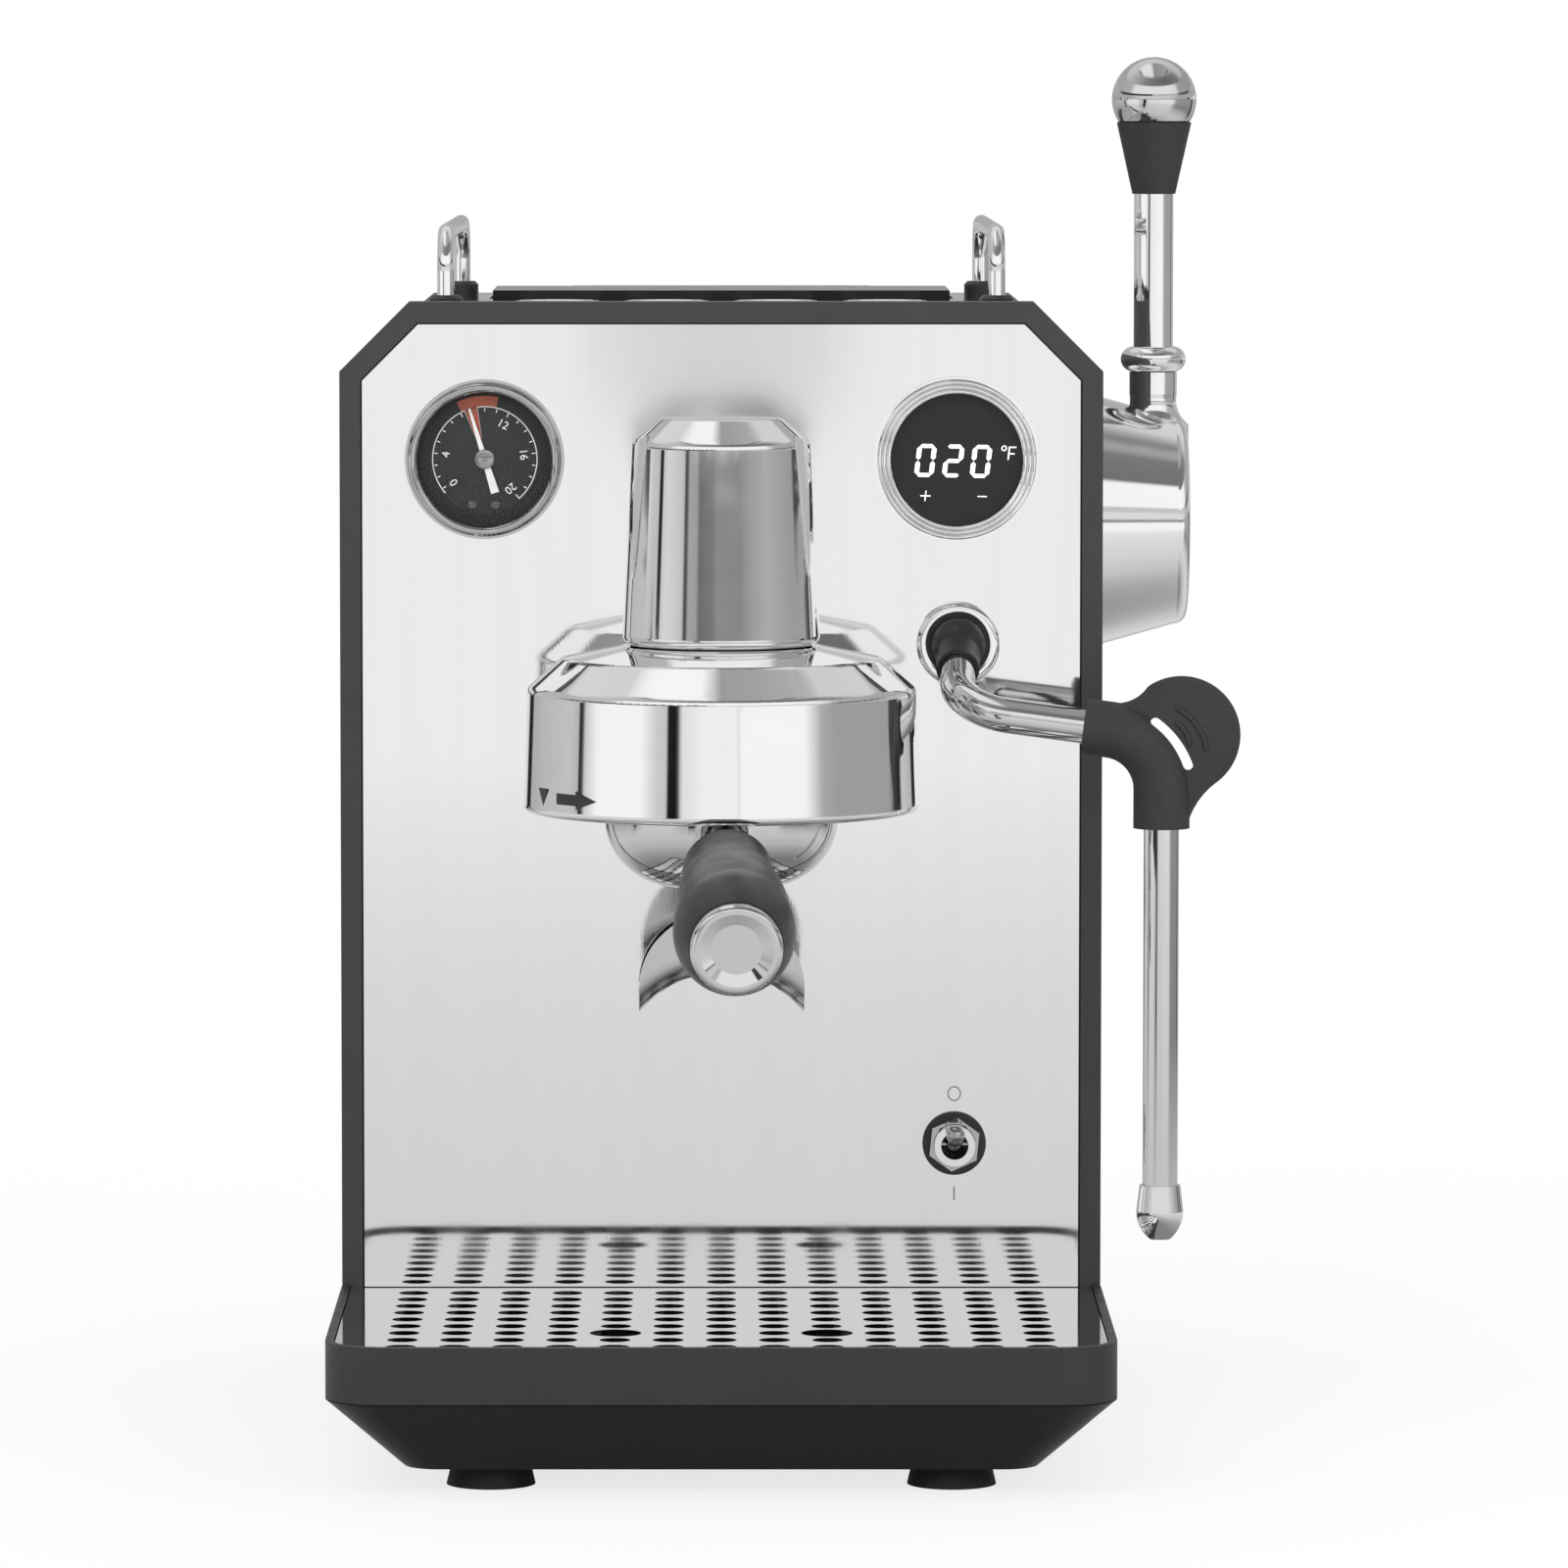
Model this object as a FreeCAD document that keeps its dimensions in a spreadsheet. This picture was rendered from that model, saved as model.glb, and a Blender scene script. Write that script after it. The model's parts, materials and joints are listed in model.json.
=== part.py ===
import FreeCAD, Part
import math
import os
import Sketcher

# Driving sizes in millimetres and degrees. "ahead" counts forward from the front panel's face,
# "behind" counts backward from it, and heights count up from the counter.
driving_sizes = {
    # place of the housing in the part's frame
    "centre_x": -18.65,
    "front_y": 3.9,
    # clearances
    "running_fit": 0.06,
    "slip_fit": 0.1,
    "free_gap": 0.3,
    # housing
    "body_width": 220,
    "body_depth": 200,
    "body_top": 328,
    "corner_cut": 20,
    "base_top": 27,
    "frame_face": 6,
    "frame_depth": 10,
    "frame_proud": 1,
    "frame_foot": 9,
    "panel_gap": 0.5,
    "panel_thick": 1.5,
    "ledge_width": 4,
    "ledge_thick": 2,
    "casing_inset": 2.5,
    "sheet": 1.2,
    "top_plate_width": 168,
    # base and feet
    "base_reach": 131,
    "base_side_taper": 21.5,
    "base_front_taper": 18,
    "base_rear_taper": 12,
    "base_corner": 16,
    "base_rear_corner": 4,
    "base_low_corner": 10,
    "base_floor": 3,
    "base_wall": 6,
    "foot_height": 6.6,
    "foot_width": 25,
    "foot_neck": 22,
    "foot_spread": 129,
    "foot_ahead": 95,
    "foot_behind": 170,
    # raised rings of the top plate
    "ring_pitch": 32.7,
    "ring_width": 23.5,
    "ring_bead": 2.6,
    "ring_bead_radius": 1.7,
    "ring_first": 36,
    # cup rails
    "rail_spread": 159.6,
    "rail_bar": 5,
    "rail_top": 350,
    "rail_front": 18,
    "rail_back": 184,
    "rail_bend": 11,
    "collar_width": 10,
    "collar_height": 4,
    # back panel and power inlet
    "vent_length": 44,
    "vent_height": 3,
    "vent_pitch": 8,
    "vent_spread": 92,
    "vent_low": 100,
    "screw_width": 7,
    "screw_head": 1.4,
    "screw_slot": 1.2,
    "screw_slot_depth": 0.7,
    "screw_inset": 9,
    "inlet_offset": 62,
    "inlet_height": 42,
    "inlet_width": 27,
    "inlet_tall": 19.5,
    "inlet_depth": 18,
    "inlet_flange": 3,
    "inlet_flange_thick": 2.5,
    "inlet_wall": 2,
    "inlet_pin_width": 4,
    "inlet_pin_thick": 2,
    "inlet_pin_pitch": 7,
    # dials
    "dial_height": 282.7,
    "gauge_offset": 68.2,
    "gauge_width": 46,
    "gauge_opening": 38.6,
    "gauge_can_width": 41,
    "gauge_depth": 26,
    "gauge_wall": 0.6,
    "dial_thick": 1,
    "dial_sunk": 2.2,
    "dial_step": 1.4,
    "gauge_port_width": 6,
    "gauge_port_length": 6,
    "display_offset": 67.8,
    "display_width": 47.5,
    "display_opening": 38,
    "display_can_width": 42,
    "display_depth": 18,
    "bezel_height": 5.4,
    "bezel_flange": 0.8,
    "bezel_skirt": 2.2,
    "lens_thick": 1,
    "needle_reach": 15.2,
    "needle_tail": 10.2,
    "needle_width": 1.7,
    "needle_tip_width": 0.6,
    "needle_tail_width": 2.4,
    "needle_thick": 0.5,
    "needle_lean": 17,
    "needle_hub_width": 5.4,
    "needle_pin_width": 1.6,
    "needle_pin_length": 6,
    # group
    "group_reach": 70,
    "cover_width": 111.6,
    "cover_draft": 1.1,
    "cover_low": 187,
    "cover_shoulder": 221.5,
    "cover_crown": 230,
    "cover_crown_width": 90,
    "cover_wall": 2.5,
    "cover_roll": 2.2,
    "cover_soft": 3,
    "cover_ceiling": 227,
    "bell_foot": 233.5,
    "bell_foot_width": 55.5,
    "bell_foot_round": 3,
    "bell_shoulder": 290.8,
    "bell_shoulder_width": 50.2,
    "bell_top": 297.4,
    "bell_top_width": 34,
    "bell_soft": 3.5,
    "bell_crown_soft": 2,
    "flute_radius": 5.5,
    "flute_depth": 2.9,
    "flute_lean": 6.1,
    "flute_angle": 65,
    "head_width": 96,
    "head_low": 200,
    "head_crown_width": 78,
    "head_shoulder": 216,
    "neck_height": 210.6,
    "neck_width": 20,
    "bayonet_width": 100,
    "bayonet_low": 188.2,
    "bayonet_lip": 2.2,
    "bayonet_ceiling": 3.4,
    "unlock_angle": 50,
    "ear_radius": 40.4,
    "ear_half_width": 12,
    "gasket_thick": 3,
    "gasket_width": 5.6,
    "screen_width": 55.4,
    "screen_drop": 5.4,
    "screen_sheet": 1,
    # portafilter
    "bowl_width": 66,
    "bowl_low": 165.8,
    "bowl_round": 20,
    "bowl_rim_width": 72.4,
    "bowl_wall": 3,
    "bowl_floor": 3.5,
    "outlet_width": 10,
    "basket_width": 57.2,
    "basket_wall": 1,
    "basket_rim_width": 69.5,
    "basket_rim": 1.2,
    "basket_depth": 21,
    "basket_floor_width": 46,
    "basket_taper": 8,
    "handle_height": 184,
    "handle_tilt": 9.46,
    "handle_turn": 1.7,
    "boss_width": 18,
    "boss_end": 42,
    "ferrule_width": 18.8,
    "ferrule_showing": 0.7,
    "handle_neck_width": 25,
    "handle_neck_round": 2,
    "handle_swell": 74,
    "handle_swell_width": 25.8,
    "handle_width": 32.4,
    "handle_widest": 116,
    "handle_end": 136.5,
    "handle_end_width": 25.6,
    "handle_flank_radius": 300,
    "handle_tail_radius": 34,
    "cap_width": 25,
    "cap_thick": 4,
    "cap_dish_width": 20,
    "cap_floor_width": 13.7,
    "cap_dish_depth": 1.4,
    "spout_hub_width": 17,
    "spout_hub_low": 152,
    "spout_crest": 158.5,
    "spout_axis": 148,
    "spout_bend": 37,
    "spout_reach": 23.2,
    "spout_crest_offset": 2,
    "trough_width": 14,
    "trough_wall": 1.7,
    # steam wand
    "wand_offset": 68.3,
    "wand_height": 229.4,
    "wand_ring_width": 24,
    "wand_ring_opening": 19.4,
    "wand_ring_thick": 5,
    "wand_ring_round": 1.6,
    "wand_seat_width": 18.6,
    "wand_seat_front": 3.2,
    "wand_seat_depth": 8,
    "wand_seat_flange": 22,
    "ball_width": 16,
    "ball_ahead": 6,
    "sleeve_wall": 1.1,
    "sleeve_end": 15,
    "tube_width": 10,
    "tube_bore": 6,
    "tube_start": 7,
    "tube_bend": 17,
    "knee_offset": 67,
    "knee_ahead": 42,
    "knee_height": 213.5,
    "elbow_offset": 125,
    "elbow_ahead": 46,
    "elbow_height": 206,
    "tip_wall": 1.6,
    "tip_low": 62.5,
    "tip_top": 78,
    "tip_end_width": 6,
    "tip_belly": 70.5,
    "tip_neck_wall": 0.7,
    "tip_socket": 70,
    "grip_wall": 2.9,
    "grip_start": 103,
    "grip_low": 180,
    "fin_width": 33.4,
    "fin_offset": 130.6,
    "fin_height": 206.5,
    "fin_thick": 5.4,
    "fin_edge": 1.2,
    "fin_root": 112,
    "fin_foot": 182,
    "fin_top_angle": 125,
    "fin_low_angle": -52,
    "fin_hollow": 1.4,
    "slot_width": 3,
    "slot_gap": 1,
    "slot_middle": 37,
    "slot_sweep": 34,
    # power toggle
    "toggle_offset": 67.5,
    "toggle_height": 84.4,
    "washer_width": 18.4,
    "washer_thick": 1.2,
    "nut_flats": 13.7,
    "nut_thick": 2.8,
    "nut_turn": 24,
    "bushing_width": 11.8,
    "bushing_bore": 7.9,
    "bushing_front": 8,
    "bushing_back": 10,
    "bat_pivot": 2,
    "bat_pin_width": 1.6,
    "bat_pin_length": 10.4,
    "bat_ball_width": 5.4,
    "bat_neck_width": 3,
    "bat_length": 17,
    "bat_heel_width": 5,
    "bat_lean": 17,
    "switch_width": 16,
    "switch_tall": 20,
    "switch_depth": 20,
    # brew lever
    "lever_behind": 70,
    "lever_height": 261.5,
    "hub_width": 75.6,
    "hub_face_width": 61,
    "hub_length": 30,
    "hub_round": 3.5,
    "hub_gap": 0.5,
    "neck_reach": 20.2,
    "lever_neck_width": 14,
    "lever_neck_root_width": 21,
    "lever_neck_root": 290,
    "lever_neck_waist": 299,
    "lever_neck_flare": 9,
    "lever_ring_width": 19.2,
    "lever_ring_low": 305.5,
    "lever_ring_top": 313,
    "stem_width": 11.6,
    "stem_top": 358,
    "stem_core_width": 8,
    "rubber_width": 22,
    "rubber_foot_width": 12.7,
    "rubber_top": 379,
    "knob_width": 24.9,
    "knob_centre": 385.8,
    "spindle_width": 10,
    "spindle_length": 22,
    "bearing_barrel_width": 18,
    "bearing_plate_thick": 4,
    "bearing_plate_width": 36,
    "bearing_plate_tall": 60,
    "valve_thick": 18,
    "valve_width": 30,
    "valve_tall": 40,
    # drip tray and grate
    "tray_rear_gap": 0.6,
    "tray_front_inset": 0.4,
    "tray_rise": 0.2,
    "tray_top": 43.2,
    "tray_wall": 2.2,
    "tray_ledge": 3.2,
    "tray_floor": 2,
    "grate_top": 42.2,
    "grate_thick": 1.2,
    "grate_gap": 0.4,
    "grate_hole": 8.6,
    "grate_column_pitch": 14.8,
    "grate_row_pitch": 13.7,
    "grate_first_row": 12,
    "finger_hole": 14.5,
    # water tank and shelf
    "notch_width": 140,
    "notch_behind": 128,
    "tank_width": 132,
    "tank_front": 131,
    "tank_back": 194,
    "tank_rim": 324.6,
    "tank_wall": 2.2,
    "tank_floor": 3,
    "tank_corner": 8,
    "lid_width": 138,
    "lid_front": 129,
    "lid_back": 185.5,
    "lid_low": 324.9,
    "lid_top": 328,
    "lid_tongue_width": 81,
    "lid_axis": 190,
    "lid_pin_width": 2,
    "lid_pin_reach": 4.4,
    "lid_plug_gap": 1,
    "lid_plug_depth": 4,
    "ear_gap": 0.4,
    "tank_ear_thick": 5,
    "tank_ear_front": 187.2,
    "tank_ear_root": 320.4,
    "shelf_top": 60,
    "shelf_thick": 3,
    "dock_width": 16,
    "dock_low": 48,
    "dock_offset": 30,
    "dock_behind": 160,
    # boiler, pump, valve, board and pipes
    "boiler_width": 68,
    "boiler_front": 16,
    "boiler_back": 98,
    "boiler_dome": 14,
    "boiler_flange_width": 80,
    "boiler_flange_thick": 6,
    "boss_line": 60,
    "boiler_boss_width": 14,
    "boiler_boss_reach": 40,
    "valve_top": 168,
    "solenoid_low": 120,
    "coil_width": 30,
    "coil_top": 156,
    "solenoid_stem_width": 16,
    "pump_offset": 62,
    "pump_axis": 36,
    "pump_width": 40,
    "pump_front": 32,
    "pump_back": 96,
    "pump_nose_width": 14,
    "pump_nose": 10,
    "pump_port_top": 62,
    "saddle_width": 30,
    "saddle_length": 36,
    "board_behind": 40,
    "board_length": 70,
    "board_low": 100,
    "board_tall": 90,
    "board_thick": 1.6,
    "standoff_width": 6,
    "standoff_height": 8,
    "standoff_inset": 6,
    "relay_width": 22,
    "relay_tall": 28,
    "relay_thick": 14,
    "hose_width": 8,
    "pipe_width": 6,
    "capillary_width": 2.4,
    "pipe_bend": 9,
}

ring_columns, ring_rows = 4, 3
grate_columns, grate_rows = 13, 9
finger_hole_row, finger_hole_columns = 7, 2
vent_columns, vent_rows = 2, 7
screw_rows = 3
gauge_beads, display_beads = 1, 3

doc = FreeCAD.newDocument("EspressoMachine")
sheet = doc.addObject("Spreadsheet::Sheet", "Sizes")
for row, (alias, number) in enumerate(driving_sizes.items(), start=1):
    sheet.set(f"A{row}", alias)
    sheet.set(f"B{row}", str(number))
    sheet.setAlias(f"B{row}", alias)
doc.recompute()


class Length:
    """A number together with the sheet formula that it comes from."""

    def __init__(self, value, formula):
        self.value = value
        self.formula = formula

    def __add__(self, other):
        other = length(other)
        return Length(self.value + other.value, f"({self.formula} + {other.formula})")

    def __sub__(self, other):
        other = length(other)
        return Length(self.value - other.value, f"({self.formula} - {other.formula})")

    def __mul__(self, other):
        other = length(other)
        return Length(self.value * other.value, f"({self.formula} * {other.formula})")

    def __truediv__(self, other):
        other = length(other)
        return Length(self.value / other.value, f"({self.formula} / {other.formula})")

    def __radd__(self, other):
        return length(other) + self

    def __rsub__(self, other):
        return length(other) - self

    def __rmul__(self, other):
        return length(other) * self

    def __neg__(self):
        return Length(-self.value, f"(-{self.formula})")


class SheetSizes:
    """Each alias of the sheet as a Length."""

    def __init__(self):
        for alias in driving_sizes:
            setattr(self, alias, Length(float(sheet.get(alias)), f"Sizes.{alias}"))


def length(amount):
    return amount if isinstance(amount, Length) else Length(float(amount), f"{amount}")


def sine(angle):
    return Length(math.sin(math.radians(angle.value)), f"sin({angle.formula})")


def cosine(angle):
    return Length(math.cos(math.radians(angle.value)), f"cos({angle.formula})")


def tangent(angle):
    return Length(math.tan(math.radians(angle.value)), f"tan({angle.formula})")


def root(amount):
    return Length(math.sqrt(amount.value), f"sqrt({amount.formula})")


size = SheetSizes()
half_body = size.body_width / 2
casing_top = size.body_top - size.casing_inset
casing_side = half_body - size.casing_inset
rail_axis = size.rail_top - size.rail_bar / 2
tray_low = size.base_top + size.tray_rise
grate_low = size.grate_top - size.grate_thick
sub_parts = []


def bind(target, name, amount):
    target.setExpression(name, length(amount).formula)


def place(part, across=0, ahead=0, up=0, turn=None):
    """Stands a piece across the centre plane, ahead of the panel's face and up from the counter."""
    if turn is not None:
        part.Placement = FreeCAD.Placement(FreeCAD.Vector(), turn)
    bind(part, "Placement.Base.x", size.centre_x + across)
    bind(part, "Placement.Base.y", size.front_y - ahead)
    bind(part, "Placement.Base.z", up)
    sub_parts.append(part)


facing_front = FreeCAD.Rotation(FreeCAD.Vector(1, 0, 0), 90)


def new_body(label):
    body = doc.addObject("PartDesign::Body", label)
    body.Label = label
    return body


def origin_feature(body, role):
    return next(feature for feature in body.Origin.OriginFeatures if feature.Role == role)


def new_sketch(body, plane, lift=0, shift_x=0, shift_y=0):
    sketch = body.newObject("Sketcher::SketchObject", f"{body.Label}_sketch")
    sketch.AttachmentSupport = [(origin_feature(body, plane), "")]
    sketch.MapMode = "FlatFace"
    bind(sketch, "AttachmentOffset.Base.x", shift_x)
    bind(sketch, "AttachmentOffset.Base.y", shift_y)
    bind(sketch, "AttachmentOffset.Base.z", lift)
    return sketch


def pin_point(sketch, geometry, position, x, y):
    for kind, amount, axis in (("DistanceX", length(x), -2), ("DistanceY", length(y), -1)):
        if amount.formula == "0":
            sketch.addConstraint(Sketcher.Constraint("PointOnObject", geometry, position, axis))
        else:
            rule = Sketcher.Constraint(kind, -1, 1, geometry, position, amount.value)
            index = sketch.addConstraint(rule)
            bind(sketch, f"Constraints[{index}]", amount)


def set_radius(sketch, geometry, radius):
    index = sketch.addConstraint(Sketcher.Constraint("Radius", geometry, radius.value))
    bind(sketch, f"Constraints[{index}]", radius)


def arc_between(start, end, radius, leftward):
    """The arc of under half a turn from start to end that bends left or right."""
    chord = end - start
    rise = math.sqrt(max(radius ** 2 - (chord.Length / 2) ** 2, 0))
    normal = FreeCAD.Vector(-chord.y, chord.x, 0).normalize()
    centre = start + chord * 0.5 + normal * (rise if leftward else -rise)
    first, last = (start, end) if leftward else (end, start)
    angles = [math.atan2(point.y - centre.y, point.x - centre.x) for point in (first, last)]
    return Part.ArcOfCircle(Part.Circle(centre, FreeCAD.Vector(0, 0, 1), radius), *angles)


def draw_path(sketch, corners, closed=True):
    """Joins corners by lines. A third value is the radius of an arc to the next corner:
    above zero bends left, below zero bends right."""
    points = [FreeCAD.Vector(length(corner[0]).value, length(corner[1]).value, 0) for corner in corners]
    count = len(corners) if closed else len(corners) - 1
    stretches = []
    for index in range(count):
        start, end = points[index], points[(index + 1) % len(points)]
        if len(corners[index]) == 2:
            geometry = sketch.addGeometry(Part.LineSegment(start, end))
            stretches.append((geometry, 1, 2))
        else:
            radius = corners[index][2]
            leftward = radius.value > 0
            radius = radius if leftward else -radius
            geometry = sketch.addGeometry(arc_between(start, end, radius.value, leftward))
            set_radius(sketch, geometry, radius)
            stretches.append((geometry, 1, 2) if leftward else (geometry, 2, 1))
    for index, (geometry, first, last) in enumerate(stretches):
        pin_point(sketch, geometry, first, *corners[index][:2])
        if closed or index + 1 < count:
            following = stretches[(index + 1) % count]
            sketch.addConstraint(Sketcher.Constraint("Coincident", geometry, last, following[0],
                                                     following[1]))
    if not closed:
        pin_point(sketch, stretches[-1][0], stretches[-1][2], *corners[-1][:2])


def draw_circle(sketch, x, y, radius):
    centre = FreeCAD.Vector(length(x).value, length(y).value, 0)
    geometry = sketch.addGeometry(Part.Circle(centre, FreeCAD.Vector(0, 0, 1), radius.value))
    pin_point(sketch, geometry, 3, x, y)
    set_radius(sketch, geometry, radius)


def box_path(left, right, low, high):
    return [(left, low), (right, low), (right, high), (left, high)]


def rounded_path(left, right, low, high, low_radius, high_radius):
    return [
        (left + low_radius, low),
        (right - low_radius, low, low_radius),
        (right, low + low_radius),
        (right, high - high_radius, high_radius),
        (right - high_radius, high),
        (left + high_radius, high, high_radius),
        (left, high - high_radius),
        (left, low + low_radius, low_radius),
    ]


def housing_path(inset, low):
    """The housing's front outline with its cut top corners, drawn in by an inset."""
    mitre = inset * math.tan(math.pi / 8)
    side = half_body - inset
    shoulder = size.body_top - size.corner_cut - mitre
    crown = half_body - size.corner_cut - mitre
    top = size.body_top - inset
    return [(-side, low), (side, low), (side, shoulder), (crown, top), (-crown, top), (-side, shoulder)]


def pad(body, sketch, amount, backward=False):
    feature = body.newObject("PartDesign::Pad", f"{body.Label}_pad")
    feature.Profile = sketch
    feature.Reversed = backward
    bind(feature, "Length", amount)
    return feature


def pocket(body, sketch, amount=None, both_ways=False):
    """Cuts against the sketch's normal, right through where no amount is given."""
    feature = body.newObject("PartDesign::Pocket", f"{body.Label}_pocket")
    feature.Profile = sketch
    if amount is None:
        feature.Type = "ThroughAll"
        feature.Midplane = both_ways
    else:
        bind(feature, "Length", amount)
    return feature


def revolve(body, sketch, axis="V_Axis", cut=False):
    kind = "Groove" if cut else "Revolution"
    feature = body.newObject(f"PartDesign::{kind}", f"{body.Label}_{kind.lower()}")
    feature.Profile = sketch
    feature.ReferenceAxis = (sketch, [axis])
    feature.Angle = 360
    return feature


def repeat(body, feature, first_axis, first_pitch, first_count, second_axis, second_pitch,
           second_count):
    """Repeats a feature over a grid along two of the body's axes."""
    pattern = body.newObject("PartDesign::LinearPattern", f"{body.Label}_grid")
    pattern.Originals = [feature]
    pattern.Direction = (origin_feature(body, first_axis), [""])
    pattern.Occurrences = first_count
    bind(pattern, "Length", first_pitch * (first_count - 1))
    pattern.Direction2 = (origin_feature(body, second_axis), [""])
    pattern.Occurrences2 = second_count
    bind(pattern, "Length2", second_pitch * (second_count - 1))
    body.Tip = pattern
    return pattern


def turned(label, corners):
    """A body turned about its own upright axis, from corners given as radius and height."""
    body = new_body(label)
    sketch = new_sketch(body, "XZ_Plane")
    draw_path(sketch, corners)
    revolve(body, sketch)
    return body


def soften(body, rims, amount):
    """Rounds the circular edges that lie at the given radii and heights."""
    doc.recompute()
    solid = body.Tip
    names = []
    for index, edge in enumerate(solid.Shape.Edges, start=1):
        if isinstance(edge.Curve, Part.Circle):
            found = (edge.Curve.Radius, edge.Curve.Center.z)
            if any(math.dist(found, (radius.value, height.value)) < 0.01 for radius, height in rims):
                names.append(f"Edge{index}")
    fillet = body.newObject("PartDesign::Fillet", f"{body.Label}_fillet")
    fillet.Base = (solid, names)
    bind(fillet, "Radius", amount)


def bent_wire(points, radius):
    """Straight runs through the points, joined by tangent arcs."""
    edges = []
    start = points[0]
    for before, corner, after in zip(points, points[1:], points[2:]):
        arriving = (corner - before).normalize()
        leaving = (after - corner).normalize()
        turn = arriving.getAngle(leaving)
        cut = radius * math.tan(turn / 2)
        first = corner - arriving * cut
        last = corner + leaving * cut
        inward = (leaving - arriving).normalize()
        middle = corner + inward * (radius / math.cos(turn / 2) - radius)
        edges.append(Part.LineSegment(start, first).toShape())
        edges.append(Part.Arc(first, middle, last).toShape())
        start = last
    edges.append(Part.LineSegment(start, points[-1]).toShape())
    return Part.Wire(edges)


def rod_along(wire, radius):
    first = wire.Edges[0]
    start = first.valueAt(first.FirstParameter)
    direction = first.tangentAt(first.FirstParameter)
    ring = Part.Wire(Part.makeCircle(radius, start, direction))
    return wire.makePipeShell([ring], True, False)


def new_shape(label, shape):
    """A piece whose form follows a path in space."""
    part = doc.addObject("Part::Feature", label)
    part.Label = label
    part.Shape = shape
    place(part)


def in_space(across, ahead, up):
    return FreeCAD.Vector(length(across).value, -length(ahead).value, length(up).value)


def make_base():
    body = new_body("base")
    low = new_sketch(body, "XY_Plane", size.foot_height)
    low_side = half_body - size.base_side_taper
    low_front = size.base_reach - size.base_front_taper
    low_back = size.body_depth - size.base_rear_taper
    draw_path(low,
              rounded_path(-low_side, low_side, -low_front, low_back, size.base_low_corner,
                           size.base_rear_corner))
    top = new_sketch(body, "XY_Plane", size.base_top)
    draw_path(top, rounded_path(-half_body, half_body, -size.base_reach, size.body_depth,
                                size.base_corner, size.base_rear_corner))
    loft = body.newObject("PartDesign::AdditiveLoft", "base_loft")
    loft.Profile = low
    loft.Sections = [top]
    loft.Ruled = True
    hollow = new_sketch(body, "XY_Plane", size.base_top)
    hollow_side = low_side - size.base_wall
    draw_path(hollow, box_path(-hollow_side, hollow_side, size.frame_depth, low_back - size.base_wall))
    pocket(body, hollow, size.base_top - size.foot_height - size.base_floor)
    place(body)


def make_feet():
    body = new_body("feet")
    body.AllowCompound = True
    sketch = new_sketch(body, "XZ_Plane", size.foot_ahead, -size.foot_spread / 2)
    draw_path(sketch,
              [(0, 0), (size.foot_width / 2, 0), (size.foot_neck / 2, size.foot_height),
               (0, size.foot_height)])
    foot = revolve(body, sketch)
    repeat(body, foot, "X_Axis", size.foot_spread, 2, "Y_Axis", size.foot_ahead + size.foot_behind, 2)
    place(body)


def make_front_frame():
    body = new_body("front_frame")
    inner_low = size.base_top + size.frame_foot
    ring = new_sketch(body, "XZ_Plane", -size.frame_depth)
    draw_path(ring, housing_path(length(0), size.base_top))
    draw_path(ring, housing_path(size.frame_face, inner_low))
    pad(body, ring, size.frame_depth + size.frame_proud)
    ledge = new_sketch(body, "XZ_Plane", -size.panel_thick - size.ledge_thick)
    draw_path(ledge, housing_path(size.frame_face, inner_low))
    draw_path(ledge, housing_path(size.frame_face + size.ledge_width, inner_low + size.ledge_width))
    pad(body, ledge, size.ledge_thick)
    place(body)


def make_front_panel():
    body = new_body("front_panel")
    sketch = new_sketch(body, "XZ_Plane", -size.panel_thick)
    panel_low = size.base_top + size.frame_foot + size.panel_gap
    draw_path(sketch, housing_path(size.frame_face + size.panel_gap, panel_low))
    pad(body, sketch, size.panel_thick)
    holes = new_sketch(body, "XZ_Plane")
    draw_circle(holes, -size.gauge_offset, size.dial_height, size.gauge_can_width / 2 + size.slip_fit)
    draw_circle(holes, size.display_offset, size.dial_height,
                size.display_can_width / 2 + size.slip_fit)
    draw_circle(holes, size.wand_offset, size.wand_height, size.wand_seat_width / 2 + size.running_fit)
    draw_circle(holes, size.toggle_offset, size.toggle_height, size.bushing_width / 2 + size.slip_fit)
    draw_circle(holes, 0, size.neck_height, size.neck_width / 2 + size.free_gap)
    pocket(body, holes)
    place(body)


def make_side_panel(label, side):
    body = new_body(label)
    outer = housing_path(size.casing_inset, size.base_top)
    inner = housing_path(size.casing_inset + size.sheet, size.base_top)
    lip = size.top_plate_width / 2
    right_half = outer[1:4] + [(lip, outer[3][1]), (lip, inner[3][1])] + inner[3:0:-1]
    sketch = new_sketch(body, "XZ_Plane", size.sheet - size.body_depth)
    draw_path(sketch, [(side * x, z) for x, z in right_half])
    pad(body, sketch, size.body_depth - size.sheet - size.frame_depth)
    if side > 0:
        hole = new_sketch(body, "YZ_Plane")
        draw_circle(hole, size.lever_behind, size.lever_height,
                    size.bearing_barrel_width / 2 + size.slip_fit)
        pocket(body, hole, both_ways=True)
    place(body)


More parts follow.
